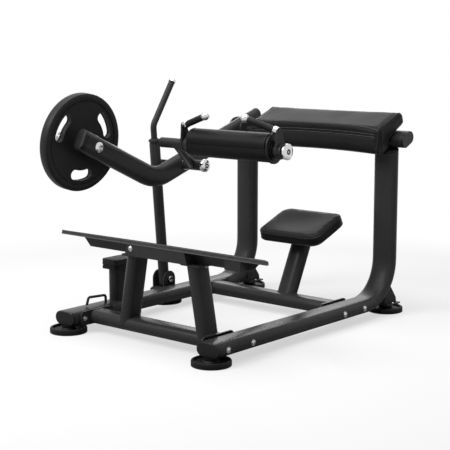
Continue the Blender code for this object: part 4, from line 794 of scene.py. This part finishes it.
def hex_nut(washer, apothem, thick):
    """A washer, a nut and the rounded end of its bolt."""
    return stacked([
        (0.0, washer),
        (0.0016, washer),
        (0.0016, apothem * 0.98),
        (0.0022, apothem, True),
        (thick, apothem, True),
        (thick + 0.0008, apothem * 0.94),
        (thick + 0.0008, apothem * 0.60),
        (thick + 0.0030, apothem * 0.58),
        (thick + 0.0036, apothem * 0.46),
    ])


def fastened(name, form, spots, body, look=ZINC):
    """One piece of equal fasteners, one at each (point, aim)."""
    work = bmesh.new()
    for point, aim in spots:
        first = len(work.verts)
        work.from_mesh(form)
        work.verts.ensure_lookup_table()
        bmesh.ops.transform(work, matrix=facing(point, aim), verts=work.verts[first:])
    return piece_of(name, work, body, look, 30)


BOLT_APART = 0.0774      # of the rails' bolts, each way from the middle of a cross tube
FLANGE_THICK = 0.008
RAIL_BOLT_SUNK = 0.0006
BRACKET_BOLT = (-0.0656, 0.4038)
HEAD_BOLT_OUT = 0.045
HEAD_PLATE_DEEP = 0.006
FOOT_PLATE_HIGH = 0.0071
FOOT_PLATE_EDGE = 0.011
crossings = [middle("front_cross_tube"), middle("mid_cross_tube")]
bolt_lines = [spot.y + side * BOLT_APART for spot in crossings for side in (-1, 1)]
rail_z = crossings[0].z
for side, rail, out in (("near", "side_frame_near", 1), ("far", "side_frame_far", -1)):
    low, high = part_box(rail)
    outer = high.x if out > 0 else low.x
    spots = [((outer - out * RAIL_BOLT_SUNK, y, rail_z), (out, 0, 0)) for y in bolt_lines]
    fastened("rail_bolts_" + side, button_bolt(0.0128, 0.0092, 0.0035), spots, "frame")
low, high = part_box("front_cross_tube")
nut_faces = ((low.x + FLANGE_THICK, 1), (high.x - FLANGE_THICK, -1))
nut_spots = [((x, y, rail_z), (aim, 0, 0)) for x, aim in nut_faces for y in bolt_lines]
fastened("flange_nuts", hex_nut(0.0115, 0.0085, 0.0090), nut_spots, "frame")

bracket_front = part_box("platform_bracket")[0].y - 0.0001
spots = [((BRACKET_BOLT[0], bracket_front, BRACKET_BOLT[1]), (0, -1, 0))]
fastened("bracket_bolt", button_bolt(0.0120, 0.0095), spots, "frame")

head_spots = []
for post in ("platform_post_far", "platform_post_near"):
    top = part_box(post)[1].z
    upper = [vert.co.x for vert in nodes[post].data.vertices if vert.co.z > top - 0.001]
    x = (min(upper) + max(upper)) / 2
    for side in (-1, 1):
        head_spots.append(((x + side * HEAD_BOLT_OUT, crossings[0].y, top - HEAD_PLATE_DEEP), (0, 0, -1)))
fastened("post_head_bolts", button_bolt(0.0085, 0.0070), head_spots, "frame")

bracket_spots = []
for side in ("near", "far"):
    low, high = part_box("rear_bracket_" + side)
    for x in (low.x + FOOT_PLATE_EDGE, high.x - FOOT_PLATE_EDGE):
        bracket_spots.append(((x, (low.y + high.y) / 2, low.z + FOOT_PLATE_HIGH), (0, 0, 1)))
fastened("rear_bracket_bolts", button_bolt(0.0080, 0.0060), bracket_spots, "frame")
print("rail bolts at", [round(y, 3) for y in bolt_lines])

# %% [markdown]
# The chrome caps carry a grey plastic disc in the middle, set into a shallow ring, and the bolt of the
# weight horn has a key socket. Each disc stands on the outer end of its own chrome cap.

# %% Inserts of the chrome caps
INSERT = stacked([
    (-0.0010, 0.0125),
    (0.0004, 0.0125),
    (0.0010, 0.0118),
    (0.0010, 0.0082),
    (0.0004, 0.0076),
    (0.0004, 0.0034, True),
    (-0.0006, 0.0032, True),
])
KEY = stacked([
    (-0.0012, 0.0080),
    (0.0006, 0.0080),
    (0.0010, 0.0075),
    (0.0010, 0.0046, True),
    (-0.0008, 0.0044, True),
])
for cap, body, form, name, look, slot in (
    ("hip_end_cap", "yoke", INSERT, "hip_end_cap_insert", GREY_INSERT, "cap_plastic"),
    ("yoke_pin_cap", "arm", INSERT, "yoke_pin_cap_insert", GREY_INSERT, "cap_plastic"),
    ("horn_bolt", "arm", KEY, "horn_bolt_socket", ZINC, "chrome"),
):
    centre = middle(cap)
    fastened(name, form, [((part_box(cap)[1].x, centre.y, centre.z), (1, 0, 0))], body, look)
print("inserts on", "hip_end_cap, yoke_pin_cap, horn_bolt")

# %% [markdown]
# The weight plate is moulded rubber over iron: a thick rim, a thinner web that is dished on the outer side,
# and a hub. It is a half section spun about the horn's axis. Three long hand slots are cut through the web.
# Each cutter is a short bar, spun through the slot's angle, with a round post at each end, and a boolean
# takes it out of the plate. Made flat about Z first, the plate is then set on the horn.

# %% Weight plate
PLATE_RADIUS = 0.2215
PLATE_HALF = 0.0225
BORE = 0.0254
HUB_EDGE = 0.050
RIM_EDGE = 0.190
NEAR_DISH = 0.0020
FAR_DISH = 0.0165
GROOVE = 0.0028
SLOT_AT = 0.149
SLOT_WIDE = 0.052
SLOT_TURN = math.radians(16)
SLOT_SPOTS = (30, 150, 270)
SLOT_LIP = 0.0030
CUT_HALF = 0.04
POST_DEEP = 0.078
TICK_SPOTS = (0, 60, 120, 180, 240, 300)
TICK_TURN = 12
PLATE_STEPS = 120

plate_middle = middle("weight_plate")
slide = next(joint for joint in frame["joints"] if joint["name"] == "plate_slide")
plate_aim = Vector(slide["axis"]).normalized()
plate_up = (Vector((0, 0, 1)) - plate_aim * plate_aim.z).normalized()
plate_side = plate_up.cross(plate_aim)
on_horn = Matrix.Translation(plate_middle) @ Matrix((plate_side, plate_up, plate_aim)).transposed().to_4x4()


def spun(section, steps, start=0.0, sweep=2 * math.pi):
    """Spins a closed section of (radius, height) points about Z."""
    work = bmesh.new()
    turn = Matrix.Rotation(start, 3, "Z")
    face = work.faces.new([work.verts.new(turn @ Vector((radius, 0, height))) for radius, height in section])
    whole = abs(sweep - 2 * math.pi) < 1e-6
    bmesh.ops.spin(
        work, geom=[face], angle=sweep, steps=steps, axis=(0, 0, 1), cent=(0, 0, 0), use_merge=whole
    )
    if whole:
        inside = [item for item in work.faces if len(item.verts) == len(section) and len(section) != 4]
        bmesh.ops.delete(work, geom=inside, context="FACES_ONLY")
        bmesh.ops.remove_doubles(work, verts=work.verts, dist=1e-6)
    bmesh.ops.recalc_face_normals(work, faces=work.faces)
    return work


plate_section = [
    (BORE, -PLATE_HALF),
    (HUB_EDGE, -PLATE_HALF),
    (HUB_EDGE + 0.003, -PLATE_HALF + NEAR_DISH),
    (RIM_EDGE - GROOVE, -PLATE_HALF + NEAR_DISH),
    (RIM_EDGE - GROOVE * 0.7, -PLATE_HALF + NEAR_DISH + GROOVE),
    (RIM_EDGE, -PLATE_HALF + NEAR_DISH + GROOVE),
    (RIM_EDGE + GROOVE * 0.4, -PLATE_HALF + 0.0006),
    (RIM_EDGE + GROOVE, -PLATE_HALF),
    (PLATE_RADIUS - 0.006, -PLATE_HALF),
    (PLATE_RADIUS - 0.0018, -PLATE_HALF + 0.0018),
    (PLATE_RADIUS, -PLATE_HALF + 0.006),
    (PLATE_RADIUS, PLATE_HALF - 0.006),
    (PLATE_RADIUS - 0.0018, PLATE_HALF - 0.0018),
    (PLATE_RADIUS - 0.006, PLATE_HALF),
    (RIM_EDGE + 0.006, PLATE_HALF),
    (RIM_EDGE - 0.001, PLATE_HALF - FAR_DISH),
    (HUB_EDGE + 0.010, PLATE_HALF - FAR_DISH),
    (HUB_EDGE, PLATE_HALF),
    (BORE, PLATE_HALF),
]
blank = in_scene("plate_blank", mesh_of(spun(plate_section, PLATE_STEPS), "plate_blank"))

cutters = bmesh.new()
slot_half = SLOT_WIDE / 2
slot_section = [
    (SLOT_AT - slot_half, -CUT_HALF), (SLOT_AT + slot_half, -CUT_HALF),
    (SLOT_AT + slot_half, CUT_HALF), (SLOT_AT - slot_half, CUT_HALF),
]
for spot in SLOT_SPOTS:
    first = math.radians(spot) - SLOT_TURN
    cutters.from_mesh(mesh_of(spun(slot_section, 14, first, 2 * SLOT_TURN), "slot_bar"))
    for turn in (first, first + 2 * SLOT_TURN):
        place = Matrix.Rotation(turn, 4, "Z") @ Matrix.Translation((SLOT_AT, 0, 0))
        bmesh.ops.create_cone(
            cutters, cap_ends=True, segments=32, radius1=slot_half, radius2=slot_half, depth=POST_DEEP,
            matrix=place,
        )
cutter = in_scene("slot_cutters", mesh_of(cutters, "slot_cutters"))
slots = blank.modifiers.new("slots", "BOOLEAN")
slots.object = cutter
slots.solver = "EXACT"
slots.use_self = True
work = bmesh_of(applied(blank))
bpy.data.objects.remove(blank)
bpy.data.objects.remove(cutter)
work.transform(on_horn)
plate_skin = work.copy()
plate_form = piece_of("plate_form", work, "plate", PLATE_RUBBER, 32)
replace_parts(plate_form, "weight_plate")

slot_lips = []
for level in (-PLATE_HALF + NEAR_DISH, PLATE_HALF - FAR_DISH):
    inwards = 0.0007 if level < 0 else -0.0007
    point = plate_middle + plate_aim * (level + inwards)
    for line in cut_lines(plate_skin, point, plate_aim):
        if (centre_of(line) - point).length > 0.08 and len(line) > 12:
            slot_lips.append(eased(evenly(line, 0.004), 1))
strand("plate_slot_lips", slot_lips, SLOT_LIP, "plate", PLATE_RUBBER)

ticks = bmesh.new()
for spot in TICK_SPOTS:
    turned = on_horn @ Matrix.Rotation(math.radians(spot + TICK_TURN), 4, "Z")
    placed = turned @ Matrix.Translation((RIM_EDGE + 0.001, 0, -PLATE_HALF + 0.0022))
    bmesh.ops.create_cube(ticks, size=1.0, matrix=placed @ Matrix.Diagonal((0.0130, 0.0050, 0.0050, 1)))
bmesh.ops.bevel(
    ticks, geom=ticks.edges[:], offset=0.0010, segments=2, profile=0.5, affect="EDGES", material=-1
)
piece_of("plate_ticks", ticks, "plate", PLATE_RUBBER)
print("plate faces", len(plate_form.data.polygons), "slot lips", len(slot_lips))

# %% [markdown]
# The hub ring is a short steel sleeve pressed into the plate's bore, and the ribs of the hand grips, the
# collar of the lock bar and the ring of the near shell are flat rings as well. One spun section serves for
# all of them. The feet are turned cups of rubber with a raised rim round a shallow well, so each is a spun
# section too.

# %% Rings
HUB_OUT = 0.0320


def ring(inner, outer, height, foot, bevel, sides=48):
    """A flat ring about Z, spun from its half section."""
    section = [
        (inner, foot), (inner, height), (outer - bevel, height), (outer, height - bevel), (outer, foot),
    ]
    return mesh_of(spun(section, sides), "ring")


hub = ring(BORE, HUB_OUT, 0.0008, -0.0030, 0.0004)
hub_spots = [(plate_middle + plate_aim * side * PLATE_HALF, plate_aim * side) for side in (-1, 1)]
fastened("plate_hub_rings", hub, hub_spots, "plate", TURNED_STEEL)

FEET = ("foot_front_near", "foot_front_far", "foot_rear_near", "foot_rear_far", "foot_stick")
FOOT_RIM = 0.0105
FOOT_SHOULDER = 0.0245
FOOT_NECK = 0.0300
WELL = FOOT_SHOULDER - 0.0100
for name in FEET:
    low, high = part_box(name)
    wide = (high.x - low.x) / 2
    cup = spun([
        (0.0, low.z), (wide - 0.0015, low.z), (wide, low.z + 0.0015), (wide, low.z + 0.0050),
        (wide - 0.0012, low.z + 0.0060), (wide - 0.0012, low.z + 0.0072), (wide, low.z + 0.0082),
        (wide, FOOT_SHOULDER - 0.0060), (wide - 0.0018, FOOT_SHOULDER - 0.0018),
        (wide - 0.0055, FOOT_SHOULDER), (wide - FOOT_RIM, FOOT_SHOULDER - 0.0012),
        (wide - FOOT_RIM - 0.0020, WELL),
        (FOOT_NECK + 0.0060, WELL + 0.0010), (FOOT_NECK, WELL + 0.0070),
        (FOOT_NECK, high.z), (0.0, high.z),
    ], 64)
    cup.transform(Matrix.Translation(((low.x + high.x) / 2, (low.y + high.y) / 2, 0)))
    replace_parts(piece_of(name + "_cup", cup, "frame", FOOT_RUBBER, 35), name)

work = welded_copy("stick_tube")
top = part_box("stick_tube")[1].z
lower, upper = [centre_of(evenly(level_cut(work, top - down), 0.003)) for down in (0.05, 0.012)]
work.free()
collar = ring(0.0235, 0.0282, 0.0060, -0.0060, 0.0020)
fastened("stick_collar", collar, [(upper, upper - lower)], "stick", POWDER_COAT)

shell_ring = ring(0.0480, 0.0525, 0.0022, -0.0020, 0.0010)
bar_y, bar_z = middle("yoke_bar").yz
ring_spot = (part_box("hip_shell_near")[0].x + 0.010, bar_y, bar_z)
fastened("hip_shell_ring", shell_ring, [(ring_spot, (1, 0, 0))], "yoke", CAP_PLASTIC)
print("hub ring outer radius", HUB_OUT, "feet:", len(FEET))

# %% [markdown]
# The foot platform is edged all round with a moulded rubber strip that laps over its rim. Its outline is
# one face in the platform's own slope, inset to leave a narrow band, which is extruded to the strip's
# height, and a bevel rounds it over. The bumper's cap is a rubber block on a thinner foot: a rounded
# rectangle, raised in steps that draw in or out.

# %% Platform edging and bumper
PLATFORM_SLOPE = math.radians(12.9)
PLATFORM_HALF = 0.580
PLATFORM_DEEP = 0.250
SIDE_CUT = 0.214
EDGE_STRIP = 0.016
LAP = 0.0025
SHEET_DROP = 0.0025
STRIP_LOW = -0.0125
STRIP_HIGH = 0.0050

low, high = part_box("foot_platform")
tread = welded_copy("foot_platform")
front_y = low.y + SHEET_DROP
front_z = max(vert.co.z for vert in tread.verts if vert.co.y < low.y + 0.006)
tread.free()
centre_x = (low.x + high.x) / 2
on_tread = Matrix.Translation((centre_x, front_y, front_z)) @ Matrix.Rotation(-PLATFORM_SLOPE, 4, "X")
strip_half = PLATFORM_HALF + LAP
strip_back = PLATFORM_DEEP + LAP
outline = [
    (-strip_half, -LAP), (strip_half, -LAP),
    (strip_half - SIDE_CUT, strip_back), (SIDE_CUT - strip_half, strip_back),
]
strip = bmesh.new()
sheet_face = strip.faces.new([strip.verts.new((x, y, STRIP_LOW)) for x, y in outline])
band = bmesh.ops.inset_region(
    strip, faces=[sheet_face], thickness=EDGE_STRIP, use_even_offset=True, use_boundary=True,
)["faces"]
bmesh.ops.delete(strip, geom=[sheet_face], context="FACES")
raised = bmesh.ops.extrude_face_region(strip, geom=band, use_keep_orig=True)["geom"]
raised_verts = [item for item in raised if isinstance(item, bmesh.types.BMVert)]
bmesh.ops.translate(strip, vec=(0, 0, STRIP_HIGH - STRIP_LOW), verts=raised_verts)
bmesh.ops.recalc_face_normals(strip, faces=strip.faces)
bmesh.ops.bevel(
    strip, geom=[edge for edge in strip.edges if edge.calc_face_angle(0.0) > 0.5], offset=0.0030,
    segments=3, profile=0.5, affect="EDGES", material=-1,
)
strip.transform(on_tread)
piece_of("platform_edging", strip, "frame", PLATFORM_RUBBER)


def raised_block(wide, deep, corner, steps):
    """A rounded rectangle raised by steps of (height, amount drawn in)."""
    work = bmesh.new()
    bmesh.ops.create_grid(work, x_segments=1, y_segments=1, size=0.5)
    bmesh.ops.scale(work, vec=(wide, deep, 1), verts=work.verts)
    bmesh.ops.bevel(
        work, geom=work.verts[:], offset=corner, segments=6, profile=0.5, affect="VERTICES", material=-1
    )
    face = work.faces[:][0]
    drawn = 0.0
    for height, amount in steps:
        face = bmesh.ops.extrude_discrete_faces(work, faces=[face])["faces"][0]
        shrink = ((wide / 2 - amount) / (wide / 2 - drawn), (deep / 2 - amount) / (deep / 2 - drawn), 1)
        bmesh.ops.scale(work, vec=shrink, verts=face.verts)
        bmesh.ops.translate(work, vec=(0, 0, height - face.calc_center_median().z), verts=face.verts)
        drawn = amount
    bmesh.ops.holes_fill(work, edges=[edge for edge in work.edges if edge.is_boundary], sides=0)
    return work


BUMPER_SHORTER = 0.024
BUMPER_CORNER = 0.013
low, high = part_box("bumper_cap")
deep = high.y - low.y - BUMPER_SHORTER
tall = high.z - low.z
block = raised_block(high.x - low.x, deep, BUMPER_CORNER, [
    (0.013, 0.0), (0.0145, 0.0022), (0.0160, 0.0022), (0.0175, 0.0),
    (tall - 0.004, 0.0), (tall - 0.0012, 0.0012), (tall, 0.0040),
])
block.transform(Matrix.Translation(((low.x + high.x) / 2, high.y - deep / 2, low.z)))
bumper = piece_of("bumper_block", block, "frame", FOOT_RUBBER, 30)
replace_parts(bumper, "bumper_cap")
print("edging", EDGE_STRIP, "m wide, bumper block", round(deep, 3), "m long")

# %% [markdown]
# The shells at the ends of the hip roll are moulded plastic discs. The one at the far end is a slim dome
# behind the pad: from the front the roll seems to come straight off the bar.

# %% Far shell of the hip roll
SHELL_DOME = 0.047
SHELL_BORE = 0.0240
low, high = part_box("hip_shell_far")
wall = high.x - low.x
section = [
    (SHELL_BORE, 0.0), (SHELL_DOME, 0.0), (SHELL_DOME - 0.0015, 0.35 * wall),
    (SHELL_DOME - 0.008, 0.7 * wall), (SHELL_DOME - 0.020, wall), (SHELL_BORE, wall),
]
work = spun(section, 48)
work.transform(facing((high.x, bar_y, bar_z), (-1, 0, 0)))
dome_piece = piece_of("hip_dome_far", work, "yoke", CAP_PLASTIC)
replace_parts(dome_piece, "hip_shell_far")
print("replaced:", dome_piece.name, bumper.name)

# %% [markdown]
# The hand grips are ribbed rubber sleeves. The ribs are rings along the grip's axis, which runs between the
# middles of the chrome ring and the chrome ball at its two ends.

# %% Ribs of the grips
RIB_PITCH = 0.0060
RIB_HIGH = 0.0007
GRIP_RADIUS = 0.0140
END_MARGIN = 0.018
rib = ring(GRIP_RADIUS - 0.0010, GRIP_RADIUS + RIB_HIGH, 0.0014, -0.0014, 0.0005, 28)
for side in ("near", "far"):
    foot = middle("grip_ring_" + side)
    tip = middle("grip_ball_" + side)
    aim = (tip - foot).normalized()
    long = (tip - foot).length
    count = int((long - 2 * END_MARGIN) / RIB_PITCH)
    first = (long - (count - 1) * RIB_PITCH) / 2
    spots = [(foot + aim * (first + i * RIB_PITCH), aim) for i in range(count)]
    fastened("grip_ribs_" + side, rib, spots, "yoke", GRIP_RUBBER)
print("ribs on each grip:", count)

# %% [markdown]
# Steel tubes that meet are joined by a fillet weld, a low bead of overlapping ripples. Its line is found by
# taking the section of the upright tube and casting it along that tube's axis onto the tube below.

# %% Weld beads
BEAD = 0.0030
BEAD_CUT = 0.14          # the height of each tube's lower section


def bead(node, upper_z, target):
    """A weld where an upright tube stands on another: sections at two heights give the tube's axis."""
    work = welded_copy(node)
    upper, lower = [level_cut(work, height) for height in (upper_z, BEAD_CUT)]
    work.free()
    aim = (centre_of(evenly(lower, 0.004)) - centre_of(evenly(upper, 0.004))).normalized()
    base = welded_copy(target)
    tree = BVHTree.FromBMesh(base)
    line = []
    for spot in evenly(lower, 0.0022):
        hit = tree.ray_cast(spot, aim, 0.4)[0]
        if hit is not None:
            line.append(hit)
    base.free()
    return eased(line, 1)


BEADS = (
    ("weld_post_far", "platform_post_far", 0.30, "front_cross_tube"),
    ("weld_post_near", "platform_post_near", 0.30, "front_cross_tube"),
    ("weld_seat_post", "seat_post", 0.25, "mid_cross_tube"),
    ("weld_bumper_post", "bumper_post", 0.22, "side_frame_far"),
)
for name, node, upper_z, target in BEADS:
    strand(name, [bead(node, upper_z, target)], BEAD, "frame", POWDER_COAT,
           swell=lambda i: 1.0 if i % 2 else 0.86)
print("weld beads:", len(BEADS))

# %% [markdown]
# The floor is a plain pale sheet that runs well past the picture. From a few metres out it glows with the
# white of the background, to the camera, to reflections and through glass, so it meets the white world
# without a line. Near the machine the camera sees a part of that glow and the rest is the lit sheet, so the
# soft shadow stays. The machine gets its bounced light from the sheet's true, greyer colour.

# %% Floor
FLOOR_HALF = 40.0
FLOOR_GLOW = 0.60
FADE_FROM = 1.0
FADE_TO = 2.7
FLOOR_TRUE = (0.50, 0.50, 0.50, 1)
FLOOR_SEEN = (0.96, 0.96, 0.96, 1)
work = bmesh.new()
bmesh.ops.create_grid(work, x_segments=1, y_segments=1, size=FLOOR_HALF)
floor = in_scene("floor", mesh_of(work, "floor"))
pale = bpy.data.materials.new("pale floor")
pale.use_nodes = True
tree = pale.node_tree
sheet = tree.nodes["Principled BSDF"]
sheet.inputs["Roughness"].default_value = 0.9
sheet.inputs["Specular IOR Level"].default_value = 0.0
paths, seen = seen_white(tree)
sockets = {"A": FLOOR_TRUE, "B": FLOOR_SEEN, "Factor": paths["Is Camera Ray"]}
tone = node_in(tree, "ShaderNodeMix", sockets, data_type="RGBA")
tree.links.new(tone.outputs["Result"], sheet.inputs["Base Color"])
out = node_in(tree, "ShaderNodeVectorMath", {0: object_point(tree)}, operation="LENGTH").outputs["Value"]
sockets = {"From Min": FADE_FROM, "From Max": FADE_TO, "Value": out}
fade = node_in(tree, "ShaderNodeMapRange", sockets, interpolation_type="SMOOTHSTEP").outputs["Result"]
near = math_node(tree, "MULTIPLY", paths["Is Camera Ray"], FLOOR_GLOW)
share = math_node(tree, "MAXIMUM", near, math_node(tree, "MULTIPLY", seen, fade))
glow = tree.nodes.new("ShaderNodeEmission").outputs["Emission"]
both = node_in(tree, "ShaderNodeMixShader", {"Fac": share, 1: sheet.outputs["BSDF"], 2: glow})
tree.links.new(both.outputs["Shader"], tree.nodes["Material Output"].inputs["Surface"])
floor.data.materials.append(pale)
floor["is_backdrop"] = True
print("floor", 2 * FLOOR_HALF, "m wide")

# %% [markdown]
# The last cell measures the box of the dressed machine and prints, in millimetres, how far each of its
# corners lies from the box of the imported solids.

# %% Measure and finish
dressed_box = [list(corner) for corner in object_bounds()]
corners = zip(cad_box[0] + cad_box[1], dressed_box[0] + dressed_box[1])
print("growth in mm:", [round((after - before) * 1000, 1) for before, after in corners])
